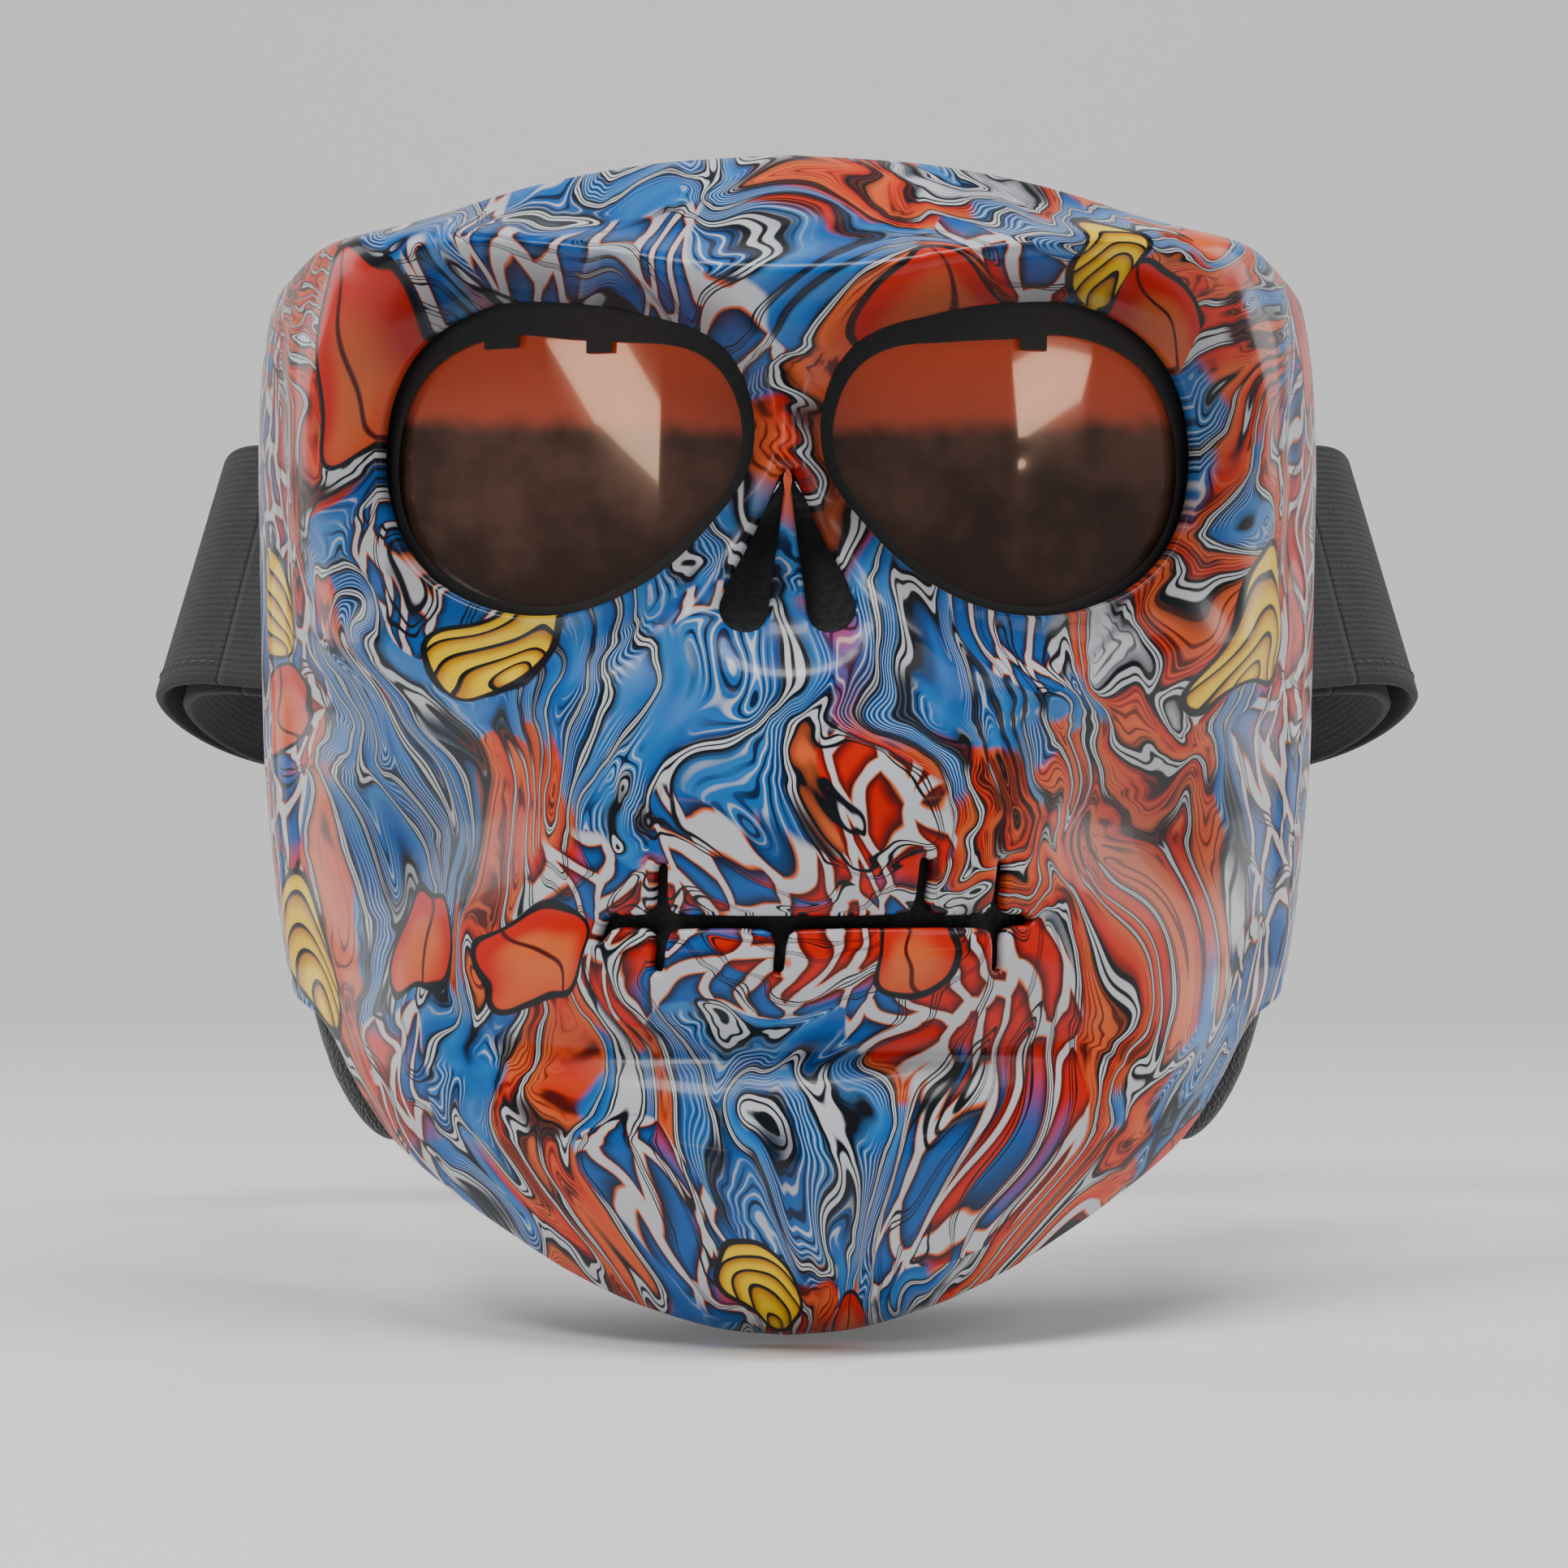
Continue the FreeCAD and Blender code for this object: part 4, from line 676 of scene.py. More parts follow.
def print_finish():
    """The dipped print: bands between the level lines of a stretched, twice-pushed noise. Every band has an
    ink outline and a white border, is filled blue or red by zone, and carries fine hairs along its edge.
    Over it, painted shade darkens the print towards ink where the face lies deep."""
    material, shader, made = new_finish("swirl print", roughness=0.30, specular_ior_level=0.22,
                                        coat_weight=0.14, coat_roughness=0.06)
    across, up, _ = made.node("ShaderNodeUVMap", {"uv_map": "UVMap"}).parts()
    across, up = across * 1000.0, up * 1000.0
    place = made.vector(across, up)
    place = place.moved_by_noise(1 / 62, 22.0)
    place = place.moved_by_noise(1 / 21, 8.0)
    fine = place.moved_by_noise(1 / 6.5, 1.1)
    x, z, _ = fine.parts()
    on_brow = up.ramp(10.0, 38.0)
    on_lips = made.math("EXPONENT", ((across / 48) ** 2.0 + ((up + 74.0) / 26) ** 2.0) ** 2.0 * -1.0)
    level = on_brow.most(on_lips)
    level_middle = up.ramp(-30.0, 0.0) * 108.0 - 74.0
    flow = made.vector(x / 30 - level * x / 48, z / 88 + level * (z - level_middle) / 30)
    field = flow.noise(1.0, 2.0, 0.40)
    band = field * BANDS
    inside_band = band.part()
    edge = (inside_band - 0.5).size() * 2.0
    number = band - inside_band
    lot = made.node("ShaderNodeTexWhiteNoise", {"noise_dimensions": "1D"}, {"W": number})
    zone = colour_zone(made, across, up, x, z, lot)

    hair_phase = field * HAIRS + 1.4 * fine.noise(1 / 6.0, 1.0)
    hair = (hair_phase.part() - 0.5).size() * 2.0
    patchy = place.noise(1 / 15, 1.0)
    hairs = hair.ramp(0.34, 0.16) * patchy.ramp(0.40, 0.56)
    glints = hair.ramp(0.70, 0.92) * patchy.ramp(0.36, 0.62)
    shade = place.noise(1 / 11, 2.0)

    blues = (inside_band + 0.9 * (shade - 0.5)).ramp(0.15, 0.85).tint(BLUE, SKY)
    blues = (shade + 0.35 * (edge - 0.5)).ramp(0.62, 0.82).tint(blues, WHITE)
    blues = glints.tint(blues, WHITE)
    blues = hairs.tint(blues, NAVY)
    reds = (inside_band + 0.8 * (shade - 0.5)).ramp(0.1, 0.95).tint(RED, PEACH)
    reds = (shade + 0.4 * (edge - 0.5)).ramp(0.36, 0.20).tint(reds, DARK_RED)
    reds = (glints * 0.7).tint(reds, PEACH)
    reds = (hairs * 0.85).tint(reds, DARK_RED)
    whites = (shade + 0.3 * (inside_band - 0.5)).ramp(0.30, 0.62).tint(GREY, WHITE)
    whites = (hairs * 0.8).tint(whites, INK)

    fill = zone.ramp(0.50, 0.53).tint(reds, blues)
    pale = lot.ramp(0.66, 0.68) * lot.ramp(0.88, 0.86)
    fill = pale.tint(fill, whites)
    golden = lot.ramp(0.93, 0.94)
    golds = hair.ramp(0.45, 0.2).tint(YELLOW, AMBER)
    fill = golden.tint(fill, golds)
    fill = (edge.ramp(0.40, 0.78) * 0.88).tint(fill, INK)

    at_side = across.size().ramp(104.0, 128.0) * 0.30
    lacy = (place.noise(1 / 44, 1.0) + at_side + 0.22 * on_lips).ramp(0.585, 0.600)
    fill = lacy.tint(fill, lace(made, x, z, zone))
    spot, ringed_spot, motif = motifs(made, place)
    fill = ringed_spot.tint(fill, INK)
    fill = spot.tint(fill, motif)

    off_spots = 1.0 - ringed_spot
    border = edge.ramp(0.80, 0.84) * off_spots
    outline = (edge.ramp(0.68, 0.73) * edge.ramp(0.84, 0.80)).most(edge.ramp(0.945, 0.98)) * off_spots
    shown = place.noise(1 / 26, 1.0).ramp(0.36, 0.46) * (1.0 - lacy)
    colour = (border * shown).tint(fill, WHITE)
    colour = outline.tint(colour, INK)
    # Painted shade: the print is darkened towards ink down the eye sockets, under the brow and in the
    # hollows.
    painted_shade = made.node("ShaderNodeAttribute", {"attribute_name": "painted_shade"}, output=2)
    feed(shader, "Base Color", (painted_shade * 0.75).tint(colour, INK))
    return material


def black_plastic(name, colour=(0.012, 0.012, 0.013), roughness=0.42, grain=900.0):
    """Moulded black plastic with a fine grain."""
    material, shader, made = new_finish(name, colour, roughness)
    place = made.node("ShaderNodeTexCoord", output=3)
    speck = place.noise(grain, 2.0, dimensions="3D")
    feed(shader, "Roughness", speck * 0.22 + (roughness - 0.11))
    bump(shader, speck, 0.25, 0.0002)
    return material


def lens_tint_and_painted_reflection():
    """Runs from red-orange at the top to brown below, over a smooth gloss: the lens's own red-orange mirror
    tint, and a painted reflection of the surroundings in the sharp split between the brighter top and the
    dark brown below.
    """
    material, shader, made = new_finish("mirrored tint and painted reflection", roughness=0.06, coat_weight=1.0, coat_roughness=0.02)
    across, _, up = made.node("ShaderNodeTexCoord", output=3).parts()
    cloud = made.vector(across, up).noise(55.0, 3.0, 0.6)
    height = up * 1000.0 + 5.0 * (cloud - 0.5)
    side = (across.size() - 0.038) * 60.0
    top = (height - 10.0 - side).ramp(-14.0, 16.0).tint((0.42, 0.085, 0.050), (0.62, 0.070, 0.022))
    low = (cloud + 0.012 * height).ramp(0.2, 0.75).tint((0.040, 0.020, 0.014), (0.115, 0.055, 0.038))
    # Painted reflection: the sharp split between the red-orange top and the dark brown below stands for the
    # mirrored surroundings.
    colour = (height - 5.0 - side).ramp(-2.0, 2.5).tint(low, top)
    feed(shader, "Base Color", colour)
    return material


def foam_finish(name, colour, cell_size=1400.0, depth=0.0006):
    """Open foam: a dense cell pattern that dents the surface and is darker down in the dents as painted
    shade, with a cloudy tone.
    """
    material, shader, made = new_finish(name, colour, 0.95, sheen_weight=0.25)
    place = made.node("ShaderNodeTexCoord", output=3)
    cells = made.node("ShaderNodeTexVoronoi", {"feature": "F1"}, {"Vector": place, "Scale": cell_size})
    cloud = place.noise(90.0, 3.0, dimensions="3D")
    # Painted shade: darker down in the cells' dents, mixed with a random cloudy tone.
    lit = (cells * 0.6 + 0.5 * cloud).ramp(0.1, 0.8)
    dark = tuple(c * 0.45 for c in colour)
    feed(shader, "Base Color", lit.tint(dark, colour))
    bump(shader, cells, 0.6, depth)
    return material


def elastic_finish():
    """Brushed woven elastic: lengthwise ribs, a felted nap with pale flecks, and thicker woven edges."""
    material, shader, made = new_finish("woven elastic", roughness=0.95, sheen_weight=0.08)
    along, across, _ = made.node("ShaderNodeUVMap", {"uv_map": "UVMap"}).parts()
    along, across = along * 1000.0, across * 1000.0
    ribs = (across * (2 * math.pi / 1.3)).wave()
    picks = (along * (2 * math.pi / 0.9) + 1.2 * ribs).wave()
    felt = made.vector(along * 1.1, across * 1.6).noise(1.0, 4.0, 0.75)
    patch = made.vector(along, across).noise(0.09, 2.0)
    nap = felt + 0.10 * ribs + 0.06 * picks + 0.25 * (patch - 0.5)
    colour = nap.ramp(0.34, 0.72).tint((0.004, 0.0042, 0.005), (0.021, 0.022, 0.026))
    edge = across.size().ramp(23.6, 24.4)
    colour = (edge * 0.55).tint(colour, (0.006, 0.006, 0.007))
    feed(shader, "Base Color", colour)
    bump(shader, nap + 0.15 * ribs, 0.8, 0.0004)
    return material


# ---- goggle --------------------------------------------------------------------------------------------

def squared_circle(turn, power):
    """A circle's cosine and sine at a turn, pushed out towards a square's, the more the smaller the power."""
    return [np.sign(wave) * np.abs(wave) ** power for wave in (np.cos(turn), np.sin(turn))]


def lens_piece(name, side, finish):
    """A lens: rings that grow over its front face to the eye's outline and shrink back over its rear face."""
    front, wall, round_edge = LENS_RADIUS - 0.1, 2.2, 0.35
    rear = front - wall
    around = full_turn(144)
    reach = round_the_eye(EYE_RADIUS, around) + 0.8
    shares = np.linspace(0.04, 1, 22)[:-1] ** 0.8
    growing = [reach * share for share in shares] + [reach - round_edge]
    steps = [(length, front) for length in growing]
    steps += [(reach, front - round_edge), (reach, rear + round_edge)]
    steps += [(length, rear) for length in growing[::-1]]
    rings = []
    for length, radius in steps:
        x = EYE_X + length * np.cos(around)
        y = LENS_FRONT + LENS_RADIUS - np.sqrt(radius ** 2 - x ** 2)
        rings.append(np.stack([side * x, y, length * np.sin(around)], axis=1))
    points, faces = skin_rings(np.array(rings))
    piece = mesh_piece(f"{name}_mirrored", points, faces, [finish])
    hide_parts(name)
    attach(piece, "goggle")
    return piece


def goggle_foam_piece(finish):
    """Face foam: a rounded-square section carried round each eye's outline, and a block between the two."""
    outer = LENS_RADIUS - 6.65
    half_depth = 6.0
    middle, half_wide = 0.1, 3.7
    around = full_turn(160)[:, None]
    turn = full_turn(28)[None, :]
    swell = 0.5
    section_out, section_back = squared_circle(turn, swell)
    skins = []
    for side in SIDES.values():
        reach = round_the_eye(EYE_RADIUS, around) + middle + half_wide * section_out
        radius = outer - half_depth + half_depth * section_back
        x = EYE_X + reach * np.cos(around)
        y = LENS_FRONT + LENS_RADIUS - np.sqrt(radius ** 2 - x ** 2)
        rings = np.stack([side * x, y, reach * np.sin(around)], axis=-1)
        points = rings.reshape(-1, 3)
        faces = grid_quads(*rings.shape[:2], closed_rows=True, closed_columns=True)
        skins.append((points, pointing_out(points, faces)))
    polar = np.linspace(0.05, np.pi - 0.05, 14)[:, None]
    bridge_width, bridge_height, bridge_z = 5.5, 9.5, 5.0
    middle_y = LENS_FRONT + LENS_RADIUS - outer + half_depth
    across, girth = squared_circle(polar, swell)
    bridge = [bridge_width * across + 0 * turn,
              middle_y + 0.96 * half_depth * girth * section_back,
              bridge_z + bridge_height * girth * section_out]
    skins.append(skin_rings(np.stack(bridge, axis=-1)))
    points, faces = joined(skins)
    piece = mesh_piece("goggle_face_foam", points, faces, [finish])
    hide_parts("goggle_foam")
    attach(piece, "goggle")
    return piece


# ---- padding -------------------------------------------------------------------------------------------

PAD_GAP = 0.4


def foam_pad(name, node, angles, low_edge, high_edge, thickness, finish, crown=0.12, gap=PAD_GAP,
             squareness=4.0):
    """A foam pad behind the shell: a rounded square in angle and height, whose two faces part by the square
    root of one minus the sixth power of the distance from its middle, so its rim is round. The face towards
    the wearer swells by its crown."""
    start = SHELL_WALL + gap
    middle, half_angle = 0.5 * (angles[0] + angles[1]), 0.5 * (angles[1] - angles[0])
    around = full_turn(96)
    square_x, square_z = squared_circle(around, 2.0 / squareness)
    share = np.sin(np.linspace(0.04, 0.5, 16) * np.pi)
    rings = []
    for facing, shares in ((-1, share), (1, share[:-1][::-1])):
        for part in shares:
            angle = middle + half_angle * part * square_x
            low, high = low_edge(np.abs(angle)), high_edge(np.abs(angle))
            z = low + (high - low) * 0.5 * (1 + part * square_z)
            open_by = math.sqrt(max(0.0, 1 - part ** 6))
            swell = 1 + (crown * (1 - part ** 2) if facing > 0 else 0.0)
            rings.append(shell_face(angle, z, start + 0.5 * thickness * (1 + facing * open_by * swell)))
    points, faces = skin_rings(np.array(rings))
    piece = mesh_piece(name, points, faces, [finish])
    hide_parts(node)
    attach(piece, "shell")
    return piece


def padding(face_foam, filter_foam):
    """All pads and both filters. Each edge is a height at an angle from the middle of the face."""
    foam_pad("brow_pad", "forehead_pad", (-40, 40), lambda a: 35.5 - 0.05 * a,
             lambda a: 50 - 10.5 * (a / 40) ** 2, 9.0, face_foam, squareness=7)
    for name, side in SIDES.items():
        foam_pad(f"cheek_cushion_{name}", f"cheek_pad_{name}", tuple(sorted((side * 38, side * 62))),
                 lambda a: -90 + 8 * ((a - 50) / 12) ** 2, lambda a: -46 - 8 * ((a - 50) / 12) ** 2,
                 10.0, face_foam)
        foam_pad(f"jaw_cushion_{name}", f"jaw_pad_{name}", tuple(sorted((side * 62.5, side * 88))),
                 lambda a: through([(62, -119), (72, -119.5), (80, -117), (88, -109)], a),
                 lambda a: -84 + 4 * ((a - 73) / 11) ** 2, 7.0, face_foam, squareness=9)
    foam_pad("chin_cushion", "chin_pad", (-30, 30), lambda a: -136 + 8 * (a / 30) ** 2,
             lambda a: -109 - 5 * (a / 30) ** 2, 8.0, face_foam, squareness=5)
    foam_pad("nose_filter_foam", "nose_filter", (-10, 10), lambda a: -36 + 0 * a,
             lambda a: through([(0, -4), (2.5, -4.5), (5, -15), (10, -27)], a), 2.5, filter_foam,
             crown=0.0, gap=PAD_GAP + 0.4, squareness=9)
    foam_pad("mouth_filter_foam", "mouth_filter", (-26, 26), lambda a: -92 + 0 * a, lambda a: -65 + 0 * a,
             3.5, filter_foam, crown=0.0, squareness=9)


# ---- strap ---------------------------------------------------------------------------------------------

STRAP_BAR = (76.0, 52.0, -13.0)
STRAP_HEADING = math.radians(38.0)
STRAP_FLARE = math.radians(15.0)
STRAP_DROOP = math.radians(8.0)
STRAP_BEND = 50.0
STRAP_FLAT = 70.0
STRAP_WIDTH = 52.0
STRAP_WALL = 2.0
STRAP_LAYER = 2.9
STRAP_LIFT = 7.5
FOLD_REACH = 46.0  # length from the bar at which the fold ends, and the outer layer and the tail begin
HALF_TURN = 4.5  # half the length of the fold's turn round the bar
ADJUSTER_PLACE = 38.0  # length from the middle of the back to an adjuster's centre bar

BEND_START_X = STRAP_FLAT + STRAP_BEND * math.cos(STRAP_HEADING)
RUN_BACK = (BEND_START_X - STRAP_BAR[0]) / math.tan(STRAP_HEADING)
RUN_LENGTH = RUN_BACK / math.cos(STRAP_HEADING)
BEND_LENGTH = STRAP_BEND * (math.pi / 2 + STRAP_HEADING)
STRAP_HALF_LENGTH = RUN_LENGTH + BEND_LENGTH + STRAP_FLAT


def strap_line(t):
    """Half the strap's middle line at a length t from the clip's bar: a straight run, a bend and the back.
    Returns X, the distance back, and the heading off straight back."""
    on_bend = np.clip(t - RUN_LENGTH, 0, BEND_LENGTH)
    heading = STRAP_HEADING - on_bend / STRAP_BEND
    run = np.minimum(t, RUN_LENGTH)
    back = np.maximum(t - RUN_LENGTH - BEND_LENGTH, 0)
    middle_back = RUN_BACK + STRAP_BEND * math.sin(STRAP_HEADING)
    bent_x = STRAP_FLAT + STRAP_BEND * np.cos(heading)
    bent_back = middle_back - STRAP_BEND * np.sin(heading)
    straight = t < RUN_LENGTH
    x = np.where(straight, STRAP_BAR[0] + run * math.sin(STRAP_HEADING), bent_x - back)
    behind = np.where(straight, run * math.cos(STRAP_HEADING), bent_back)
    return x, behind, heading


def strap_frames(t, layer, side):
    """Middle line of a strap layer with its two directions: up across its width, and out of its face. The
    loop's plane is tipped down to the back, and its sides are lifted along the way there."""
    x, behind, heading = strap_line(np.asarray(t, float))
    level = np.stack([np.cos(heading), -np.sin(heading), 0 * heading], axis=-1)
    up = math.cos(STRAP_FLARE) * np.array([0, 0, 1.0]) - math.sin(STRAP_FLARE) * level
    out = math.sin(STRAP_FLARE) * np.array([0, 0, 1.0]) + math.cos(STRAP_FLARE) * level
    point = np.stack([x, behind, 0 * x], axis=-1) + np.asarray(layer)[..., None] * out
    tip = np.array([[1, 0, 0], [0, math.cos(STRAP_DROOP), -math.sin(STRAP_DROOP)],
                    [0, math.sin(STRAP_DROOP), math.cos(STRAP_DROOP)]])
    point = point @ tip + [0, STRAP_BAR[1], STRAP_BAR[2]]
    lift = STRAP_LIFT * smooth((behind - 6) / 50) * smooth((122 - behind) / 56)
    point = point + lift[..., None] * np.array([0, 0, 1.0])
    flip = np.array([side, 1, 1])
    return point * flip, (up @ tip) * flip, (out @ tip) * flip


def band_section():
    """A flat strap's section: across its width and through its wall, with half-round edges."""
    half_wall = STRAP_WALL / 2
    half_flat = STRAP_WIDTH / 2 - half_wall
    flat = np.linspace(-1, 1, 27) * half_flat
    turn = np.linspace(-np.pi / 2, np.pi / 2, 7)[1:-1]
    edge_across, edge_through = half_wall * np.cos(turn), half_wall * np.sin(turn)
    face = np.full(len(flat), half_wall)
    across = np.concatenate([flat, half_flat + edge_across, flat[::-1], -half_flat - edge_across])
    through_wall = np.concatenate([-face, edge_through, face, -edge_through])
    return across, through_wall


def band_along(points, up, out, lengths):
    """A strap's skin along a line of points with their two directions, and its place on its own pattern."""
    across, through_wall = band_section()
    rings = (points[:, None, :] + across[None, :, None] * up[:, None, :]
             + through_wall[None, :, None] * out[:, None, :])
    skin_points, faces = skin_rings(rings)
    place = np.stack(np.broadcast_arrays(lengths[:, None], across[None, :]), axis=-1).reshape(-1, 2)
    place = np.concatenate([place, [[lengths[0], 0], [lengths[-1], 0]]])
    return skin_points, faces, place


def strap_piece(name, skin, finish):
    points, faces, place = skin
    corners = np.array([index for face in faces for index in face])
    piece = mesh_piece(name, points, faces, [finish], corner_uv=place[corners])
    return piece


def strap_fold(name, side, finish):
    """The strap's turn round a clip's bar: in along the inner layer, half round, and out along the outer."""
    legs = np.linspace(FOLD_REACH, 0.0, 24)
    turn = np.linspace(0, np.pi, 15)[1:-1]
    on_leg = np.ones(len(legs))
    t = np.concatenate([legs, -STRAP_LAYER * np.sin(turn), legs[::-1]])
    layer = STRAP_LAYER * np.concatenate([-on_leg, -np.cos(turn), on_leg])
    points, up, out = strap_frames(np.maximum(t, 0), 0 * t, side)
    run_out, run_back = math.sin(STRAP_HEADING), math.cos(STRAP_HEADING)
    along = np.array([side * run_out, run_back * math.cos(STRAP_DROOP), -run_back * math.sin(STRAP_DROOP)])
    points = points + layer[:, None] * out + np.minimum(t, 0)[:, None] * along
    lean = np.concatenate([np.pi * on_leg, np.pi - turn, 0 * on_leg])[:, None]
    facing = out * np.cos(lean) - along * np.sin(lean)
    lengths = np.concatenate([-legs, turn * STRAP_LAYER - HALF_TURN, legs[::-1] + HALF_TURN])
    return strap_piece(name, band_along(points, up, facing, lengths), finish)


def strap(finish, thread):
    """The outer layer across the back, and on each side the fold at the clip and the tail to the adjuster."""
    flip = np.array([-1, 1, 1])
    t = np.linspace(FOLD_REACH, STRAP_HALF_LENGTH, 130)
    points, up, out = strap_frames(t, np.full(len(t), STRAP_LAYER), 1)
    points = np.concatenate([points, points[-2::-1] * flip])
    up, out = (np.concatenate([d, d[-2::-1] * flip]) for d in (up, out))
    lengths = np.concatenate([t, 2 * STRAP_HALF_LENGTH - t[-2::-1]])
    back = strap_piece("strap_back", band_along(points, up, out, lengths), finish)
    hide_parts("strap_band")
    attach(back, "shell")
    for name, side in SIDES.items():
        fold = strap_fold(f"strap_fold_{name}", side, finish)
        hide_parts(f"strap_loop_{name}")
        near, _, _ = strap_frames(np.array([8.0, FOLD_REACH - 4]), np.zeros(2), side)
        tuple(near[0] * MM)
        tuple(near[1] * MM)
        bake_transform(fold)
        tail = strap_tail(name, side, finish)
        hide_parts(f"strap_return_{name}")
    hem_stitches(thread)


def strap_tail(name, side, finish):
    """The inner layer from where the fold ends, round the side and along the back to the adjuster's bar."""
    bar_t = STRAP_HALF_LENGTH - ADJUSTER_PLACE
    t = np.linspace(FOLD_REACH, bar_t - 1.5, 110)
    rise_to_bar = 0.9 * smooth((t - (bar_t - 26)) / 22)
    layer = rise_to_bar - STRAP_LAYER
    points, up, out = strap_frames(t, layer, side)
    tail = strap_piece(f"strap_tail_{name}", band_along(points, up, out, t), finish)
    anchor, _, _ = strap_frames(np.array([bar_t - 66.0, bar_t - 12.0]), np.zeros(2), side)
    tuple(anchor[0] * MM)
    tuple(anchor[1] * MM)
    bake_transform(tail)
    return tail


def hem_stitches(thread):
    """A row of short stitches along the strap's lower edge, each a small rounded rod on the outer face."""
    pitch, length, radius, below_middle = 3.4, 2.1, 0.28, 21.5
    on_face = STRAP_LAYER + STRAP_WALL / 2 + 0.05
    starts = np.arange(FOLD_REACH + 1.5, 2 * STRAP_HALF_LENGTH - FOLD_REACH - 3, pitch)
    turn = full_turn(6)
    shares = np.array([0.0, 0.12, 0.5, 0.88, 1.0])
    girth = np.array([0.35, 0.9, 1.0, 0.9, 0.35]) * radius
    skins = []
    for start in starts:
        t = start + shares * length
        mirrored = t > STRAP_HALF_LENGTH
        near = np.where(mirrored, 2 * STRAP_HALF_LENGTH - t, t)
        points, up, out = strap_frames(near, np.full(len(t), on_face), 1)
        flip = np.where(mirrored[:, None], np.array([-1, 1, 1]), 1)
        points, up, out = (points - below_middle * up) * flip, up * flip, out * flip
        ring = np.cos(turn)[None, :, None] * up[:, None] + np.sin(turn)[None, :, None] * out[:, None]
        skins.append(skin_rings(points[:, None] + girth[:, None, None] * ring))
    points, faces = joined(skins)
    piece = mesh_piece("strap_hem_stitches", points, faces, [thread])
    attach(piece, "shell")
    return piece


# ---- assembly ------------------------------------------------------------------------------------------

def dress(node, material):
    """Gives a CAD node that stays as it is its finish."""
    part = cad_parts[node]
    part.data.materials.clear()
    part.data.materials.append(material)


# Bright cards that the lenses mirror: direction from a lens, width and height, and corners as shares of them.
REFLECTED_CARDS = [
    ("card_left", (-0.58, -0.81, 0.085), 640, 76,
     [(-0.5, 0.5), (0.0, 0.49), (0.2, 0.45), (0.5, 0.06), (0.48, -0.5), (-0.06, -0.13)]),
    ("card_right", (0.79, -0.60, 0.088), 470, 52,
     [(-0.5, 0.36), (-0.13, 0.5), (0.5, 0.42), (0.35, -0.05), (-0.41, -0.5)])]


CARD_DISTANCE = 1500.0
# Lamps: place in metres, width, height and watts.
LAMPS = {"key": ((-0.75, -0.75, 1.30), 0.6, 0.5, 15), "fill": ((1.15, -0.75, 1.0), 0.7, 0.6, 3.5),
         "top": ((0.15, -0.30, 1.25), 0.9, 0.4, 16), "rim_left": ((-1.2, 0.55, 0.35), 0.5, 1.2, 7),
         "rim_right": ((1.2, 0.55, 0.35), 0.5, 1.2, 7)}
LAMP_TARGET = Vector((0, 0, -0.05))
FLOOR_Z = -150.6


def paper_sweep():
    """A pale floor that turns up into a pale wall."""
    finish, _, _ = new_finish("pale paper", (0.78, 0.78, 0.77), 0.85)
    front_end, bend_start, bend_radius, wall_top, half_width = -2500, 900, 500, 3200, 3000
    turn = np.linspace(0, np.pi / 2, 16)
    back = np.concatenate([[front_end], bend_start + bend_radius * np.sin(turn), [bend_start + bend_radius]])
    rise = np.concatenate([[0], bend_radius - bend_radius * np.cos(turn), [wall_top]]) + FLOOR_Z
    across = np.linspace(-half_width, half_width, 9)[:, None]
    points = np.stack(np.broadcast_arrays(across, back[None, :], rise[None, :]), axis=-1)
    faces = grid_quads(*points.shape[:2])[:, ::-1].tolist()
    mesh_piece("paper_sweep", points.reshape(-1, 3), faces, [finish])


def lamps():
    """A faint sky and soft square lamps that face the mask."""
    world = bpy.data.worlds.new("studio")
    bpy.context.scene.world = world
    world.use_nodes = True
    world.node_tree.nodes["Background"].inputs["Color"].default_value = (0.86, 0.89, 0.93, 1)
    world.node_tree.nodes["Background"].inputs["Strength"].default_value = 0.13
    for name, (place, width, height, watts) in LAMPS.items():
        lamp = bpy.data.lights.new(name, "AREA")
        lamp.shape = "RECTANGLE"
        lamp.size, lamp.size_y, lamp.energy = width, height, watts
        light = bpy.data.objects.new(name, lamp)
        light.location = place
        light.rotation_euler = (LAMP_TARGET - Vector(place)).to_track_quat("-Z", "Y").to_euler()
        bpy.context.scene.collection.objects.link(light)


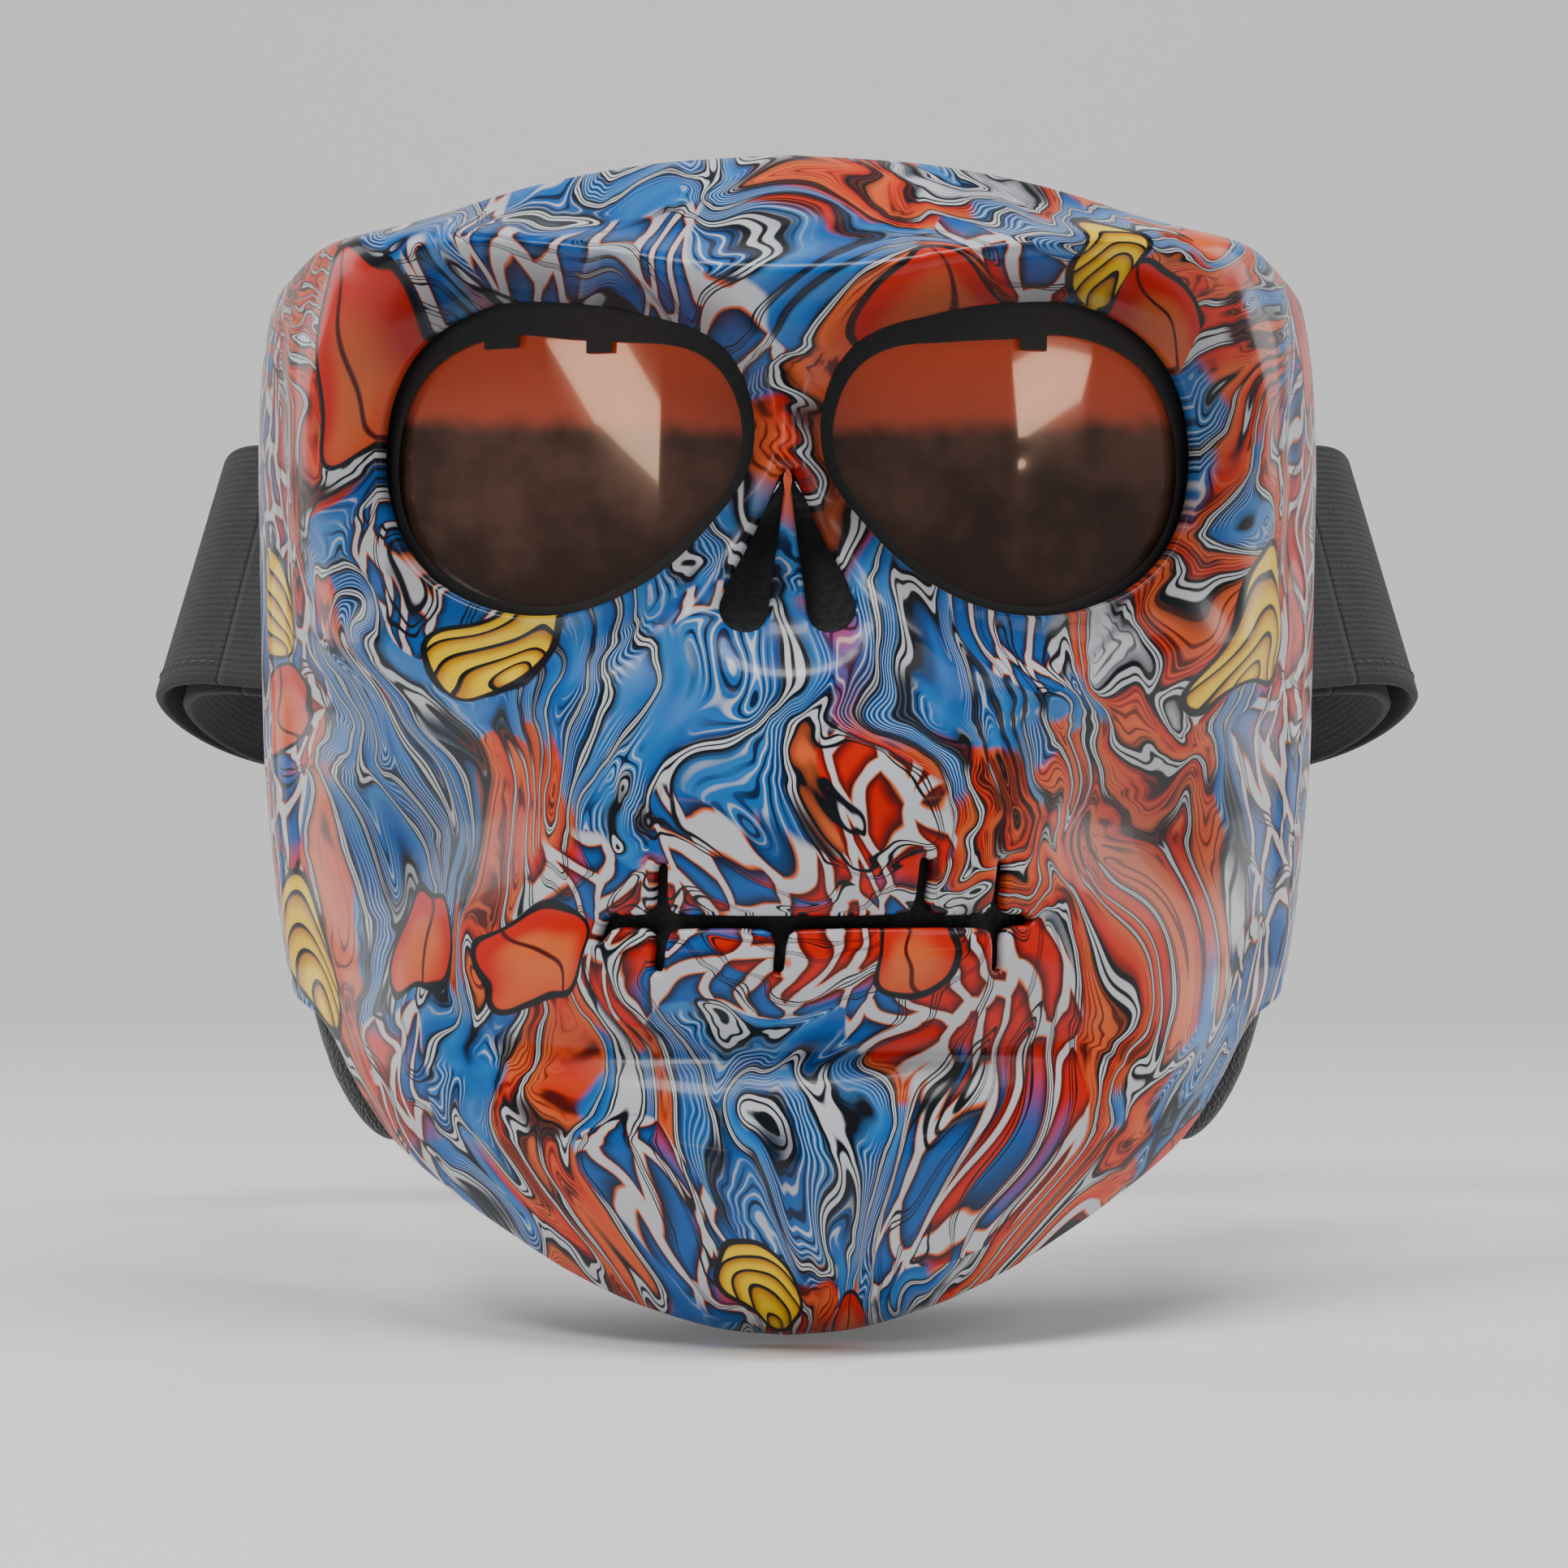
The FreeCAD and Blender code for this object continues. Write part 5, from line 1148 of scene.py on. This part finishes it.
def reflected_cards():
    """The glowing cards, which only mirrors see."""
    glow, glow_shader, _ = new_finish("reflected card", (0, 0, 0), 1.0)
    glow_shader.inputs["Emission Color"].default_value = (1.0, 0.62, 0.42, 1)
    glow_shader.inputs["Emission Strength"].default_value = 9.0
    for name, direction, width, height, corners in REFLECTED_CARDS:
        facing = np.array(direction) / np.linalg.norm(direction)
        across = np.cross([0, 0, 1.0], facing)
        middle = CARD_DISTANCE * facing + [math.copysign(EYE_X, direction[0]), -35, 14]
        points = np.array([middle + width * u * across + [0, 0, height * v] for u, v in corners])
        card = mesh_piece(name, points, [list(range(len(corners)))], [glow])
        card.visible_camera = False
        card.visible_diffuse = False
        card.visible_shadow = False


def camera():
    """A level view from straight in front of the mask."""
    lens = bpy.data.cameras.new("camera")
    lens.lens, lens.sensor_width = 97.6, 36.0
    viewer = bpy.data.objects.new("camera", lens)
    viewer.location = (-0.0006, -0.760, -0.056)
    viewer.rotation_euler = (math.radians(90), 0, 0)
    bpy.context.scene.collection.objects.link(viewer)
    bpy.context.scene.camera = viewer


swirl = print_finish()
black = black_plastic("satin black")
inner_black = black_plastic("moulded inside", (0.016, 0.016, 0.018), 0.5)
face_foam = foam_finish("face foam", (0.022, 0.022, 0.024))
filter_foam = foam_finish("filter foam", (0.010, 0.010, 0.011), 700.0)
elastic = elastic_finish()
tinted_lens_and_painted_reflection = lens_tint_and_painted_reflection()
steel, _, _ = new_finish("satin steel", (0.55, 0.55, 0.57), 0.32, metallic=1.0)
thread, _, _ = new_finish("sewing thread", (0.05, 0.05, 0.055), 0.7)

shell_piece(swirl, inner_black)
for side_name, side_sign in SIDES.items():
    lens_piece(f"lens_{side_name}", side_sign, tinted_lens_and_painted_reflection)
goggle_foam_piece(face_foam)
padding(face_foam, filter_foam)
strap(elastic, thread)
for black_node in ("goggle_frame", "filter_frame", "strap_anchor_left", "strap_anchor_right",
                   "strap_clip_left", "strap_clip_right", "strap_slider_left", "strap_slider_right",
                   "lens_gasket_left", "lens_gasket_right"):
    dress(black_node, black)
for steel_node in ("filter_screws", "anchor_screws_left", "anchor_screws_right", "hinge_pin_left",
                   "hinge_pin_right"):
    dress(steel_node, steel)
paper_sweep()
lamps()
reflected_cards()
camera()
